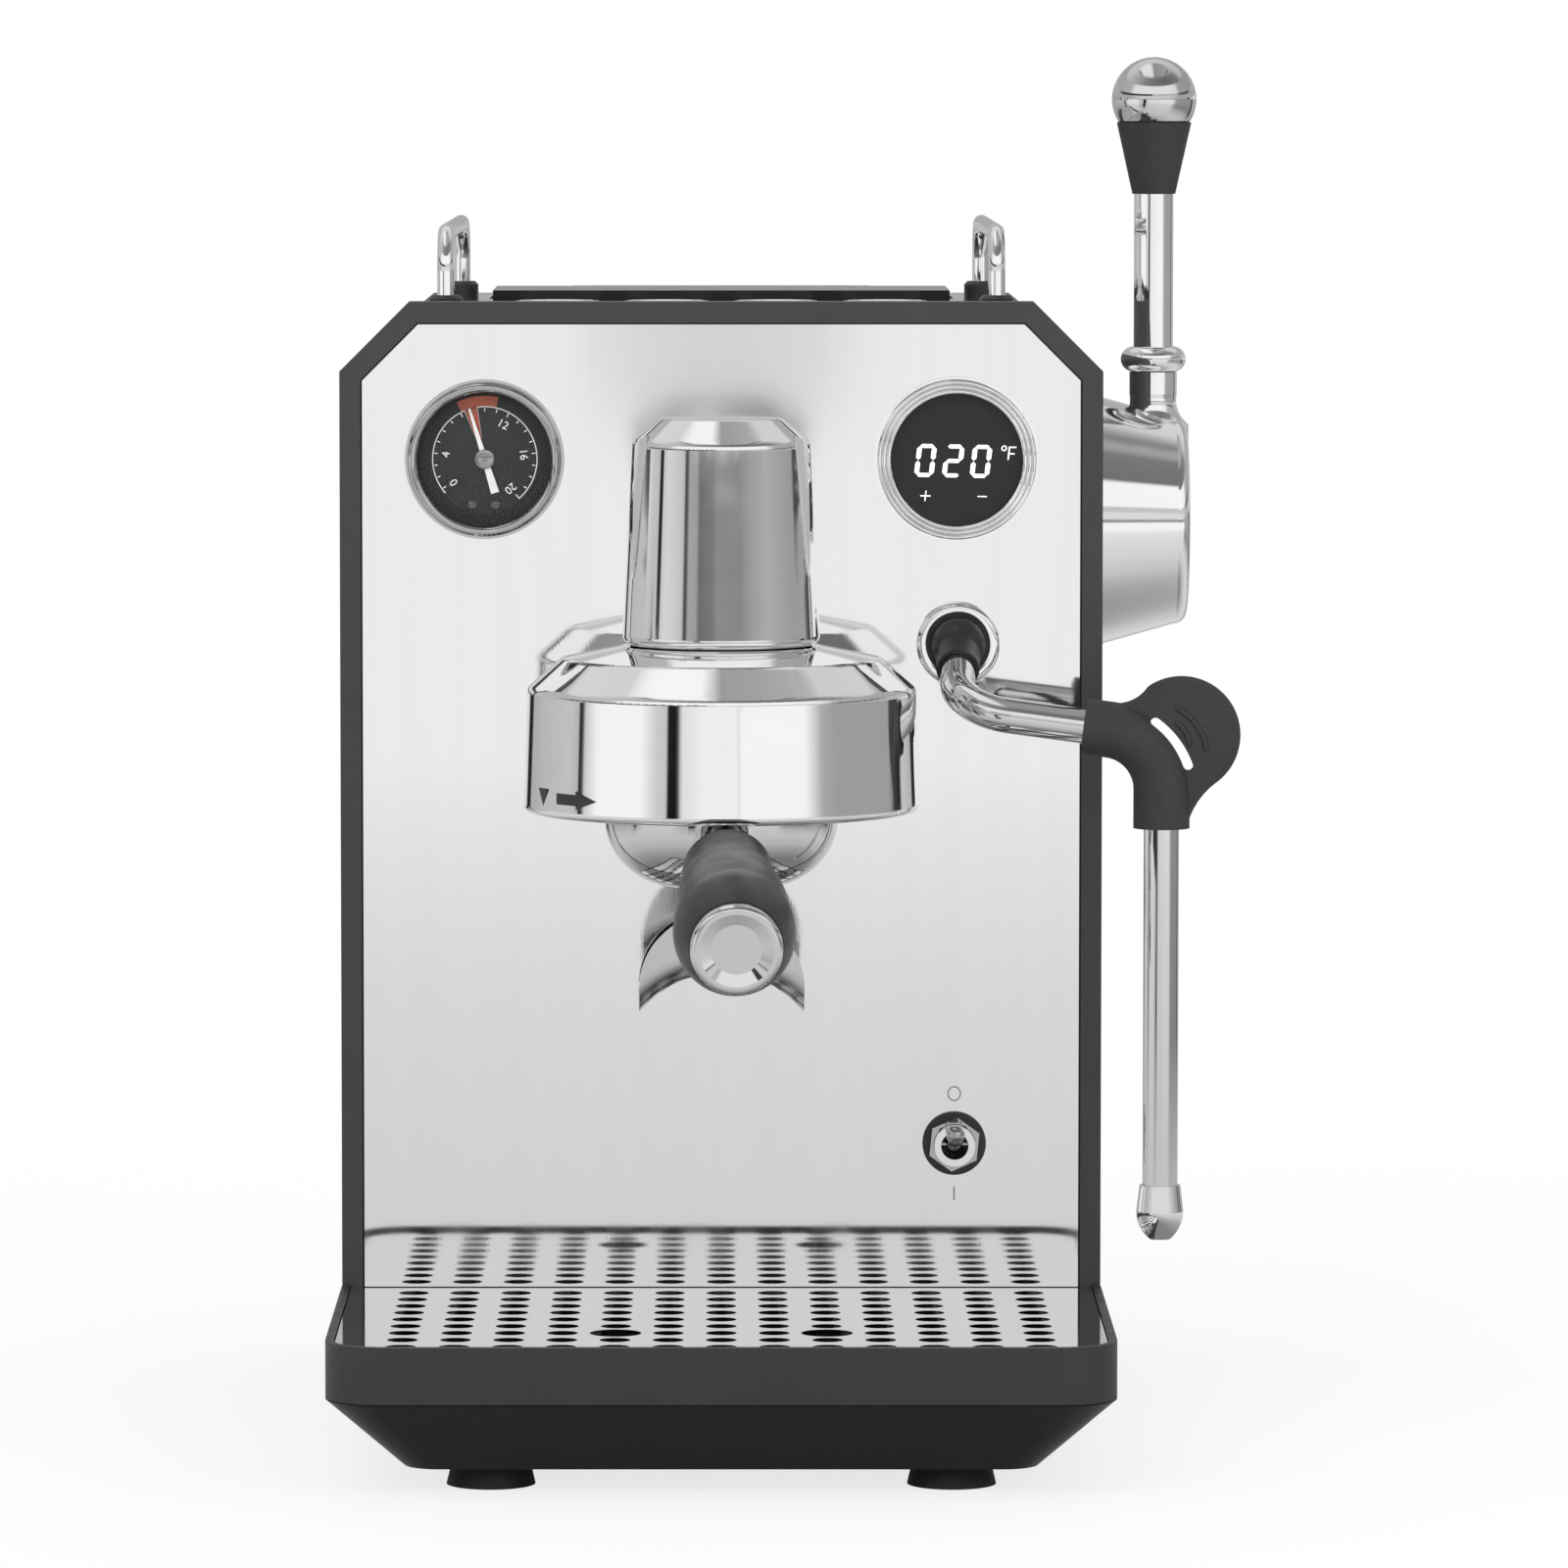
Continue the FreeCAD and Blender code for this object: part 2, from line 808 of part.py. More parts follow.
def make_top_plate():
    body = new_body("top_plate")
    half = size.top_plate_width / 2
    notch = size.notch_width / 2
    back = size.body_depth - size.sheet
    sketch = new_sketch(body, "XY_Plane", casing_top - size.sheet)
    draw_path(sketch, [
        (-half, size.frame_depth), (half, size.frame_depth), (half, back), (notch, back),
        (notch, size.notch_behind), (-notch, size.notch_behind), (-notch, back), (-half, back),
    ])
    pad(body, sketch, size.sheet)
    bead = new_sketch(body, "XZ_Plane", -size.ring_first, size.ring_pitch * (1 - ring_columns) / 2)
    ring_line = size.ring_width / 2
    sunk = casing_top - size.ring_bead / 8
    draw_path(bead,
              [(ring_line - size.ring_bead / 2, sunk),
               (ring_line + size.ring_bead / 2, sunk, size.ring_bead_radius)])
    ring = revolve(body, bead)
    repeat(body, ring, "X_Axis", size.ring_pitch, ring_columns, "Y_Axis", size.ring_pitch, ring_rows)
    place(body)


def make_back_panel():
    body = new_body("back_panel")
    sketch = new_sketch(body, "XZ_Plane", -size.body_depth)
    draw_path(sketch, housing_path(size.casing_inset, size.base_top))
    pad(body, sketch, size.sheet)
    opening = new_sketch(body, "XZ_Plane", size.sheet - size.body_depth)
    draw_path(opening, box_path(
        -size.inlet_offset - size.inlet_width / 2 - size.slip_fit,
        -size.inlet_offset + size.inlet_width / 2 + size.slip_fit,
        size.inlet_height - size.inlet_tall / 2 - size.slip_fit,
        size.inlet_height + size.inlet_tall / 2 + size.slip_fit))
    pocket(body, opening)
    slot = new_sketch(body, "XZ_Plane", size.sheet - size.body_depth)
    first = -size.vent_spread * (vent_columns - 1) / 2
    draw_path(slot, box_path(first - size.vent_length / 2, first + size.vent_length / 2,
                             size.vent_low, size.vent_low + size.vent_height))
    vent = pocket(body, slot)
    repeat(body, vent, "X_Axis", size.vent_spread, vent_columns, "Z_Axis", size.vent_pitch, vent_rows)
    heads = new_sketch(body, "XZ_Plane", -size.body_depth)
    slots = new_sketch(body, "XZ_Plane", size.screw_slot_depth - size.screw_head - size.body_depth)
    edge = casing_side - size.screw_inset
    low = size.base_top + size.screw_inset
    rise = (size.body_top - size.corner_cut - size.screw_inset - low) / (screw_rows - 1)
    head = size.screw_width / 2
    half_slot = size.screw_slot / 2
    for side in (-edge, edge):
        for row in range(screw_rows):
            up = low + rise * row
            draw_circle(heads, side, up, head)
            draw_path(slots, box_path(side - head, side + head, up - half_slot, up + half_slot))
    pad(body, heads, size.screw_head, backward=True)
    pocket(body, slots, size.screw_slot_depth)
    place(body)


def make_power_inlet():
    body = new_body("power_inlet")
    half_width = size.inlet_width / 2
    half_tall = size.inlet_tall / 2
    flange = new_sketch(body, "XZ_Plane", -size.inlet_flange_thick)
    rim = size.inlet_flange
    draw_path(flange, box_path(-half_width - rim, half_width + rim, -half_tall - rim, half_tall + rim))
    pad(body, flange, size.inlet_flange_thick)
    barrel = new_sketch(body, "XZ_Plane")
    draw_path(barrel, box_path(-half_width, half_width, -half_tall, half_tall))
    pad(body, barrel, size.inlet_depth)
    well = new_sketch(body, "XZ_Plane", -size.inlet_flange_thick)
    inner_width = half_width - size.inlet_wall
    inner_tall = half_tall - size.inlet_wall
    draw_path(well, box_path(-inner_width, inner_width, -inner_tall, inner_tall))
    cut = pocket(body, well, size.inlet_flange_thick + size.inlet_depth - size.inlet_wall)
    cut.Reversed = True
    pins = new_sketch(body, "XZ_Plane")
    for across in (-1, 0, 1):
        middle = size.inlet_pin_pitch * across if across else length(0)
        left = middle - size.inlet_pin_thick / 2
        right = middle + size.inlet_pin_thick / 2
        draw_path(pins, box_path(left, right, -size.inlet_pin_width / 2, size.inlet_pin_width / 2))
    pad(body, pins, size.inlet_depth - size.inlet_wall)
    place(body, -size.inlet_offset, -size.body_depth, size.inlet_height)


def make_cup_rail(label, side):
    body = new_body(label)
    bend = size.rail_bend
    spine = new_sketch(body, "YZ_Plane")
    draw_path(spine, [
        (size.rail_front, casing_top), (size.rail_front, rail_axis - bend, -bend),
        (size.rail_front + bend, rail_axis), (size.rail_back - bend, rail_axis, -bend),
        (size.rail_back, rail_axis - bend), (size.rail_back, casing_top),
    ], closed=False)
    section = new_sketch(body, "XY_Plane", casing_top)
    draw_circle(section, 0, size.rail_front, size.rail_bar / 2)
    sweep = body.newObject("PartDesign::AdditivePipe", f"{label}_sweep")
    sweep.Profile = section
    sweep.Spine = (spine, [])
    place(body, side * size.rail_spread / 2)


def make_rail_collars():
    body = new_body("rail_collars")
    body.AllowCompound = True
    sketch = new_sketch(body, "XZ_Plane", -size.rail_front, -size.rail_spread / 2)
    bore = size.rail_bar / 2 + size.slip_fit
    outer = size.collar_width / 2
    top = casing_top + size.collar_height
    draw_path(sketch, [(bore, casing_top), (outer, casing_top), (outer, top - size.collar_height / 4),
                       (outer - size.collar_height / 4, top), (bore, top)])
    collar = revolve(body, sketch)
    repeat(body, collar, "X_Axis", size.rail_spread, 2, "Y_Axis", size.rail_back - size.rail_front, 2)
    place(body)


def make_bezel(label, width, can_width, opening, across, beads):
    """Thin flange and a raised ring whose face is one or more half-round beads."""
    rim = width / 2
    skirt = can_width / 2 + size.slip_fit
    ring = rim - size.bezel_flange
    bead = (ring - opening / 2) / (2 * beads)
    valley = size.bezel_height - bead
    corners = [(skirt, 0), (rim, 0), (rim, size.bezel_flange), (ring, size.bezel_flange)]
    for index in range(beads):
        edge = ring - bead * (2 * index)
        corners.append((edge, valley, bead))
        corners.append((edge - bead, size.bezel_height, bead))
    corners += [(opening / 2, valley), (opening / 2, size.bezel_skirt), (skirt, size.bezel_skirt)]
    place(turned(label, corners), across, 0, size.dial_height, facing_front)


def make_window(label, can_width, across):
    radius = can_width / 2
    low = size.bezel_skirt - size.lens_thick
    body = turned(label, [(0, low), (radius, low), (radius, size.bezel_skirt), (0, size.bezel_skirt)])
    place(body, across, 0, size.dial_height, facing_front)


def make_gauge():
    across = -size.gauge_offset
    make_bezel("gauge_bezel", size.gauge_width, size.gauge_can_width, size.gauge_opening, across,
               gauge_beads)
    make_window("gauge_lens", size.gauge_can_width, across)
    outer = size.gauge_can_width / 2
    inner = outer - size.gauge_wall
    step = inner - size.dial_step
    front = size.bezel_skirt - size.lens_thick
    seat = -size.dial_sunk - size.dial_thick
    floor = -size.gauge_depth + size.dial_step
    port = size.gauge_port_width / 2
    port_end = -size.gauge_depth - size.gauge_port_length
    can = turned("gauge_can", [
        (0, port_end), (port, port_end), (port, -size.gauge_depth), (outer, -size.gauge_depth),
        (outer, front),
        (inner, front), (inner, seat), (step, seat), (step, floor), (0, floor),
    ])
    place(can, across, 0, size.dial_height, facing_front)
    bore = size.needle_pin_width / 2 + size.running_fit
    edge = inner - size.slip_fit
    dial = turned("gauge_dial",
                  [(bore, seat), (edge, seat), (edge, -size.dial_sunk), (bore, -size.dial_sunk)])
    place(dial, across, 0, size.dial_height, facing_front)
    make_gauge_needle(across)


def make_gauge_needle(across):
    """Hub and pin turned about the dial's axis, with a tapered pointer and its counterweight."""
    pin = size.needle_pin_width / 2
    hub = size.needle_hub_width / 2
    hub_low = -size.dial_sunk + size.free_gap
    pointer_low = hub_low + size.needle_thick
    hub_top = pointer_low + size.needle_thick * 2
    pin_low = -size.dial_sunk - size.needle_pin_length
    body = turned("gauge_needle",
                  [(0, pin_low), (pin, pin_low), (pin, hub_low), (hub, hub_low), (hub, hub_top),
                   (0, hub_top)])
    sketch = new_sketch(body, "XY_Plane", pointer_low)
    tip = size.needle_tip_width / 2
    root_half = size.needle_width / 2
    tail = size.needle_tail_width / 2
    draw_path(sketch, [
        (-tail, -size.needle_tail), (tail, -size.needle_tail), (root_half, -hub / 2),
        (tip, size.needle_reach), (-tip, size.needle_reach), (-root_half, -hub / 2),
    ])
    pad(body, sketch, size.needle_thick)
    lean = FreeCAD.Rotation(FreeCAD.Vector(0, 0, 1), size.needle_lean.value)
    place(body, across, 0, size.dial_height, facing_front.multiply(lean))


def make_display():
    across = size.display_offset
    make_bezel("display_bezel", size.display_width, size.display_can_width, size.display_opening,
               across, display_beads)
    make_window("display_window", size.display_can_width, across)
    outer = size.display_can_width / 2
    inner = outer - size.gauge_wall
    front = size.bezel_skirt - size.lens_thick
    back = -size.display_depth
    can = turned("display_can", [
        (0, back), (outer, back), (outer, front), (inner, front),
        (inner, back + size.dial_step), (0, back + size.dial_step),
    ])
    place(can, across, 0, size.dial_height, facing_front)


def make_group_cover():
    rim = size.cover_width / 2
    crown = size.cover_crown_width / 2
    wall = size.cover_wall
    roll = size.cover_roll
    shoulder = rim - size.cover_draft
    foot = size.bell_foot_width / 2
    inner_crown = size.head_crown_width / 2 + wall
    body = turned("group_cover", [
        (rim - wall, size.cover_low), (rim - roll, size.cover_low, roll), (rim, size.cover_low + roll),
        (shoulder, size.cover_shoulder), (crown, size.cover_crown), (foot, size.bell_foot),
        (0, size.bell_foot),
        (0, size.cover_ceiling), (inner_crown, size.cover_ceiling),
        (shoulder - wall, size.cover_shoulder - wall),
    ])
    soften(body, [(shoulder, size.cover_shoulder), (crown, size.cover_crown)], size.cover_soft)
    opening = new_sketch(body, "XZ_Plane")
    draw_circle(opening, 0, size.neck_height, size.neck_width / 2 + size.free_gap)
    pocket(body, opening)
    place(body, 0, size.group_reach)


def make_group_bell():
    """Tapered bell with four scooped flutes that are deepest at its shoulder and run out downwards."""
    foot = size.bell_foot_width / 2
    shoulder = size.bell_shoulder_width / 2
    crown = size.bell_top_width / 2
    turn_over = size.bell_foot_round
    body = turned("group_bell", [
        (0, size.bell_foot), (foot - turn_over, size.bell_foot, turn_over),
        (foot, size.bell_foot + turn_over),
        (shoulder, size.bell_shoulder), (crown, size.bell_top), (0, size.bell_top),
    ])
    soften(body, [(shoulder, size.bell_shoulder)], size.bell_soft)
    soften(body, [(crown, size.bell_top)], size.bell_crown_soft)
    distance = shoulder + size.flute_radius - size.flute_depth
    for side in (1, -1):
        for front in (1, -1):
            across = side * distance * sine(size.flute_angle)
            depth = -front * distance * cosine(size.flute_angle)
            scoop = new_sketch(body, "XY_Plane", size.bell_top)
            draw_circle(scoop, across, depth, size.flute_radius)
            cut = pocket(body, scoop, size.bell_top - size.bell_foot)
            lean = tangent(size.flute_lean).value / distance.value
            cut.UseCustomVector = True
            cut.Direction = FreeCAD.Vector(across.value * lean, depth.value * lean, -1)
    place(body, 0, size.group_reach)


def make_group_head():
    outer = size.head_width / 2
    crown = size.head_crown_width / 2
    body = turned("group_head", [
        (0, size.head_low), (outer, size.head_low), (outer, size.head_shoulder),
        (crown, size.cover_ceiling), (0, size.cover_ceiling),
    ])
    neck = new_sketch(body, "XZ_Plane")
    draw_circle(neck, 0, size.neck_height, size.neck_width / 2)
    pad(body, neck, size.group_reach + size.boiler_front, backward=True)
    place(body, 0, size.group_reach)


def make_bayonet_ring():
    """Ring whose inner groove holds the ears, with two notches where they drop in."""
    outer = size.bayonet_width / 2
    bore = size.bowl_rim_width / 2 + size.free_gap
    groove = size.ear_radius + size.free_gap
    groove_low = size.bayonet_low + size.bayonet_lip
    groove_top = size.head_low - size.bayonet_ceiling
    body = turned("bayonet_ring", [
        (bore, size.bayonet_low), (outer, size.bayonet_low), (outer, size.head_low),
        (bore, size.head_low),
        (bore, groove_top), (groove, groove_top), (groove, groove_low), (bore, groove_low),
    ])
    notch = new_sketch(body, "XY_Plane", groove_low)
    half = size.ear_half_width + size.free_gap * 2
    reach = groove
    across, along = cosine(size.unlock_angle), -sine(size.unlock_angle)
    for side in (1, -1):
        corners = [(bore / 2, -half), (reach, -half), (reach, half), (bore / 2, half)]
        draw_path(notch, [(side * (u * across - v * along), side * (u * along + v * across))
                          for u, v in corners])
    pocket(body, notch)
    place(body, 0, size.group_reach)


def make_gasket_and_screen():
    outer = size.bowl_rim_width / 2
    inner = outer - size.gasket_width
    low = size.head_low - size.gasket_thick
    gasket = turned("group_gasket",
                    [(inner, low), (outer, low), (outer, size.head_low), (inner, size.head_low)])
    place(gasket, 0, size.group_reach)
    rim = size.screen_width / 2
    face = size.head_low - size.screen_drop
    screen = turned("shower_screen", [
        (0, face), (rim, face), (rim, size.head_low), (rim - size.screen_sheet, size.head_low),
        (rim - size.screen_sheet, face + size.screen_sheet), (0, face + size.screen_sheet),
    ])
    place(screen, 0, size.group_reach)


gasket_face = size.head_low - size.gasket_thick
basket_seat = gasket_face - size.free_gap - size.basket_rim
ear_low = size.bayonet_low + size.bayonet_lip + size.free_gap
handle_yaw = FreeCAD.Rotation(FreeCAD.Vector(0, 0, 1), size.handle_turn.value)
handle_aim = handle_yaw.multiply(FreeCAD.Rotation(FreeCAD.Vector(1, 0, 0), 90 + size.handle_tilt.value))


def make_portafilter_bowl():
    """Cast bowl with a rounded floor, two bayonet ears and a sloping boss for the handle."""
    outer = size.bowl_width / 2
    rim = size.bowl_rim_width / 2
    turn_in = size.bowl_round
    body = turned("portafilter_bowl", [
        (0, size.bowl_low), (outer - turn_in, size.bowl_low, turn_in), (outer, size.bowl_low + turn_in),
        (outer, ear_low), (rim, ear_low), (rim, basket_seat), (0, basket_seat),
    ])
    ears = new_sketch(body, "XY_Plane", ear_low)
    half = size.ear_half_width
    shoulder = root(size.ear_radius * size.ear_radius - half * half)
    draw_path(ears,
              [(outer - half, -half), (shoulder, -half, size.ear_radius), (shoulder, half),
               (outer - half, half)])
    draw_path(ears,
              [(half - outer, half), (-shoulder, half, size.ear_radius), (-shoulder, -half),
               (half - outer, -half)])
    pad(body, ears, basket_seat - ear_low)
    boss = new_sketch(body, "XZ_Plane", 0, 0, size.handle_height)
    tilt = FreeCAD.Rotation(FreeCAD.Vector(1, 0, 0), size.handle_tilt.value)
    boss.AttachmentOffset = FreeCAD.Placement(boss.AttachmentOffset.Base, tilt)
    draw_circle(boss, 0, 0, size.boss_width / 2)
    pad(body, boss, size.boss_end)
    hollow = new_sketch(body, "XZ_Plane")
    inner = outer - size.bowl_wall
    floor = size.bowl_low + size.bowl_floor
    inner_turn = turn_in - size.bowl_wall
    drain = size.outlet_width / 2
    draw_path(hollow, [
        (0, size.bowl_low - size.bowl_floor), (drain, size.bowl_low - size.bowl_floor), (drain, floor),
        (inner - inner_turn, floor, inner_turn), (inner, floor + inner_turn),
        (inner, size.head_low), (0, size.head_low),
    ])
    revolve(body, hollow, cut=True)
    place(body, 0, size.group_reach, 0, handle_yaw)


def make_filter_basket():
    inner = size.basket_width / 2
    outer = inner + size.basket_wall
    rim = size.basket_rim_width / 2
    top = basket_seat + size.basket_rim
    floor = top - size.basket_depth
    foot = size.basket_floor_width / 2
    shoulder = floor + size.basket_taper
    body = turned("filter_basket", [
        (0, floor), (foot + size.basket_wall, floor), (outer, shoulder), (outer, basket_seat),
        (rim, basket_seat),
        (rim, top), (inner, top), (inner, shoulder + size.basket_wall),
        (foot, floor + size.basket_wall),
        (0, floor + size.basket_wall),
    ])
    place(body, 0, size.group_reach, 0, handle_yaw)


def make_portafilter_spout():
    """Two open troughs of round section that curve out and down to points, under a hub with a bore."""
    body = new_body("portafilter_spout")
    outer = size.trough_width / 2
    inner = outer - size.trough_wall
    axis = size.spout_axis
    bend = size.spout_bend
    reach = size.spout_reach
    offset = size.spout_crest_offset
    crest = reach - offset
    past = reach + outer
    far = past + size.trough_width
    low = axis - bend
    section = new_sketch(body, "YZ_Plane")
    draw_path(section, [
        (-outer, axis, outer), (0, axis - outer, outer), (outer, axis), (outer, size.spout_crest),
        (inner, size.spout_crest), (inner, axis, -inner), (0, axis - inner, -inner), (-inner, axis),
        (-inner, size.spout_crest), (-outer, size.spout_crest),
    ])
    for side in (1, -1):
        spine = new_sketch(body, "XZ_Plane")
        draw_path(spine, [
            (0, axis, -side * bend), (side * past, low + root(bend * bend - past * past)),
        ], closed=False)
        sweep = body.newObject("PartDesign::AdditivePipe", "spout_sweep")
        sweep.Profile = section
        sweep.Spine = (spine, [])
    trim = new_sketch(body, "XZ_Plane")
    for side in (1, -1):
        draw_path(trim, [
            (side * offset, size.spout_crest, -side * crest), (side * reach, size.spout_crest - crest),
            (side * reach, low), (side * far, low), (side * far, size.bowl_low),
            (side * offset, size.bowl_low),
        ])
    pocket(body, trim, both_ways=True)
    bore = size.outlet_width / 2
    hub_radius = size.spout_hub_width / 2
    hub = new_sketch(body, "XZ_Plane")
    draw_path(hub, [
        (bore, size.spout_hub_low), (hub_radius, size.spout_hub_low), (hub_radius, size.bowl_low),
        (bore, size.bowl_low),
    ])
    revolve(body, hub)
    place(body, 0, size.group_reach, 0, handle_yaw)


def make_handle():
    """Ferrule, swelling handle and recessed end cap along the handle's sloping axis."""
    ferrule_radius = size.ferrule_width / 2
    ferrule_end = size.cover_width / 2 + size.ferrule_showing
    ferrule = turned("handle_ferrule", [
        (0, size.boss_end), (ferrule_radius, size.boss_end), (ferrule_radius, ferrule_end),
        (0, ferrule_end),
    ])
    neck = size.handle_neck_width / 2
    neck_round = size.handle_neck_round
    swell = size.handle_swell_width / 2
    widest = size.handle_width / 2
    end = size.handle_end_width / 2
    handle = turned("portafilter_handle", [
        (0, ferrule_end), (neck - neck_round, ferrule_end, neck_round),
        (neck, ferrule_end + neck_round), (neck, size.handle_swell),
        (swell, size.handle_swell, size.handle_flank_radius),
        (widest, size.handle_widest, size.handle_tail_radius), (end, size.handle_end),
        (0, size.handle_end),
    ])
    rim = size.cap_width / 2
    top = size.handle_end + size.cap_thick
    edge = size.cap_thick / 2
    dish = size.cap_dish_width / 2
    sunk = top - size.cap_dish_depth
    cap = turned("handle_end_cap", [
        (0, size.handle_end), (rim, size.handle_end), (rim, top - edge, edge), (rim - edge, top),
        (dish, top), (size.cap_floor_width / 2, sunk), (0, sunk),
    ])
    for piece in (ferrule, handle, cap):
        place(piece, 0, size.group_reach, size.handle_height, handle_aim)


def make_wand_mount():
    rim = size.wand_ring_width / 2
    opening = size.wand_ring_opening / 2
    round_over = size.wand_ring_round
    ring = turned("wand_ring", [
        (opening, 0), (rim, 0), (rim, size.wand_ring_thick - round_over, round_over),
        (rim - round_over, size.wand_ring_thick), (opening, size.wand_ring_thick),
    ])
    place(ring, size.wand_offset, 0, size.wand_height, facing_front)
    cup = size.ball_width / 2 + size.free_gap
    sink = size.ball_ahead - size.wand_seat_front
    mouth = root(cup * cup - sink * sink)
    barrel = size.wand_seat_width / 2
    flange = size.wand_seat_flange / 2
    back = -size.wand_seat_depth
    flange_front = -size.panel_thick - size.free_gap
    seat = turned("wand_seat", [
        (0, back), (flange, back), (flange, flange_front), (barrel, flange_front),
        (barrel, size.wand_seat_front),
        (mouth, size.wand_seat_front, -cup), (0, size.ball_ahead - cup),
    ])
    place(seat, size.wand_offset, 0, size.wand_height, facing_front)


wand_root = in_space(size.wand_offset, size.ball_ahead, size.wand_height)
wand_knee = in_space(size.knee_offset, size.knee_ahead, size.knee_height)
wand_elbow = in_space(size.elbow_offset, size.elbow_ahead, size.elbow_height)
wand_end = in_space(size.elbow_offset, size.elbow_ahead, size.tip_socket)
wand_aim = (wand_knee - wand_root).normalize()
wand_start = wand_root + wand_aim * size.tube_start.value


def make_wand_ball():
    """Ball with a sleeve that takes the tube's upper end."""
    ball = size.ball_width / 2
    bore = size.tube_width / 2 + size.slip_fit
    sleeve = bore + size.sleeve_wall
    meet = root(ball * ball - sleeve * sleeve)
    body = turned("wand_ball", [
        (0, -ball, ball), (ball, 0, ball), (sleeve, meet), (sleeve, size.sleeve_end),
        (bore, size.sleeve_end),
        (bore, size.tube_start), (0, size.tube_start),
    ])
    place(body, size.wand_offset, size.ball_ahead, size.wand_height,
          FreeCAD.Rotation(FreeCAD.Vector(0, 0, 1), wand_aim))


def make_steam_tube():
    path = bent_wire([wand_start, wand_knee, wand_elbow, wand_end], size.tube_bend.value)
    outer = rod_along(path, size.tube_width.value / 2)
    new_shape("steam_tube", outer.cut(rod_along(path, size.tube_bore.value / 2)))


def make_wand_grip():
    """Rubber sleeve round the tube's elbow with a round finger fin and a slot that follows the bend."""
    along = (wand_elbow - wand_knee).normalize()
    start = wand_knee + along * ((size.grip_start.value - wand_knee.x) / along.x)
    end = in_space(size.elbow_offset, size.elbow_ahead, size.grip_low)
    bend = size.tube_bend.value
    bore_radius = size.tube_width.value / 2 + size.slip_fit.value
    sleeve_radius = bore_radius + size.grip_wall.value
    sleeve = rod_along(bent_wire([start, wand_elbow, end], bend), sleeve_radius)
    across = FreeCAD.Vector(along.x, along.y, 0).normalize()
    facing = FreeCAD.Vector(along.y, -along.x, 0).normalize()
    half = facing * (size.fin_thick.value / 2)

    def in_fin(offset, up):
        return wand_elbow + across * (offset - wand_elbow.x) + FreeCAD.Vector(0, 0, up - wand_elbow.z)

    def on_fin(angle):
        turn = math.radians(angle)
        radius = size.fin_width.value / 2
        return in_fin(size.fin_offset.value + radius * math.cos(turn),
                      size.fin_height.value + radius * math.sin(turn))

    cover = sleeve_radius - size.free_gap.value
    drop = along.z / along.x
    fin_root = in_fin(size.fin_root.value,
                      wand_elbow.z + (size.fin_root.value - wand_elbow.x) * drop + cover)
    fin_foot = in_fin(wand_elbow.x + cover, size.fin_foot.value)
    top_angle, low_angle = size.fin_top_angle.value, size.fin_low_angle.value
    fin_top, fin_low = on_fin(top_angle), on_fin(low_angle)
    fin_centre = in_fin(size.fin_offset.value, size.fin_height.value)

    def blend(first, last):
        middle = (first + last) * 0.5
        inward = (fin_centre - middle).normalize()
        return Part.Arc(first, middle + inward * size.fin_hollow.value, last).toShape()

    heart = wand_elbow - (across + FreeCAD.Vector(0, 0, 1)) * (bend * (1 - math.sqrt(0.5)))
    outline = [
        blend(fin_root, fin_top),
        Part.Arc(fin_top, on_fin((top_angle + low_angle) / 2), fin_low).toShape(),
        blend(fin_low, fin_foot),
        Part.LineSegment(fin_foot, heart).toShape(),
        Part.LineSegment(heart, fin_root).toShape(),
    ]
    plate = Part.Face(Part.Wire(outline))
    plate.translate(-half)
    fin = plate.extrude(half * 2)
    rims = [edge for edge in fin.Edges if isinstance(edge.Curve, Part.Circle)]
    fin = fin.makeFillet(size.fin_edge.value, rims)
    bend_centre = wand_elbow - across * bend - FreeCAD.Vector(0, 0, bend)
    slot_radius = bend + sleeve_radius + size.slot_gap.value
    ends = []
    for step in (-0.5, 0, 0.5):
        angle = math.radians(size.slot_middle.value + step * size.slot_sweep.value)
        ends.append(bend_centre + across * (slot_radius * math.cos(angle))
                    + FreeCAD.Vector(0, 0, slot_radius * math.sin(angle)))
    width = size.slot_width.value / 2
    edges = []
    for shift in (-width, width):
        spread = (slot_radius + shift) / slot_radius
        edges.append(Part.Arc(*[bend_centre + (point - bend_centre) * spread for point in ends]).toShape())
    inner, outer = edges
    sides = []
    for index in (0, 1):
        sides.append(Part.LineSegment(inner.Vertexes[index].Point, outer.Vertexes[index].Point).toShape())
    face = Part.Face(Part.Wire(Part.sortEdges([inner, sides[1], outer, sides[0]])[0]))
    face.translate(-half * 2)
    slot = face.extrude(half * 4)
    for point in (ends[0], ends[-1]):
        slot = slot.fuse(Part.makeCylinder(width, half.Length * 4, point - half * 2, facing))
    full_path = bent_wire([wand_start, wand_knee, wand_elbow, wand_end], bend)
    bore = rod_along(full_path, bore_radius)
    new_shape("wand_grip", sleeve.fuse(fin).cut(slot).cut(bore).removeSplitter())


def make_wand_tip():
    """Bulbous nozzle with a socket for the tube's lower end."""
    bore = size.tube_width / 2 + size.slip_fit
    belly = bore + size.tip_wall
    nose = size.tip_end_width / 2
    rise = size.tip_belly - size.tip_low
    bow = belly - nose
    radius = (rise * rise + bow * bow) / (2 * bow)
    body = turned("wand_tip", [
        (0, size.tip_low), (nose, size.tip_low, radius), (belly, size.tip_belly),
        (bore + size.tip_neck_wall, size.tip_top),
        (bore, size.tip_top), (bore, size.tip_socket), (0, size.tip_socket),
    ])
    place(body, size.elbow_offset, size.elbow_ahead)


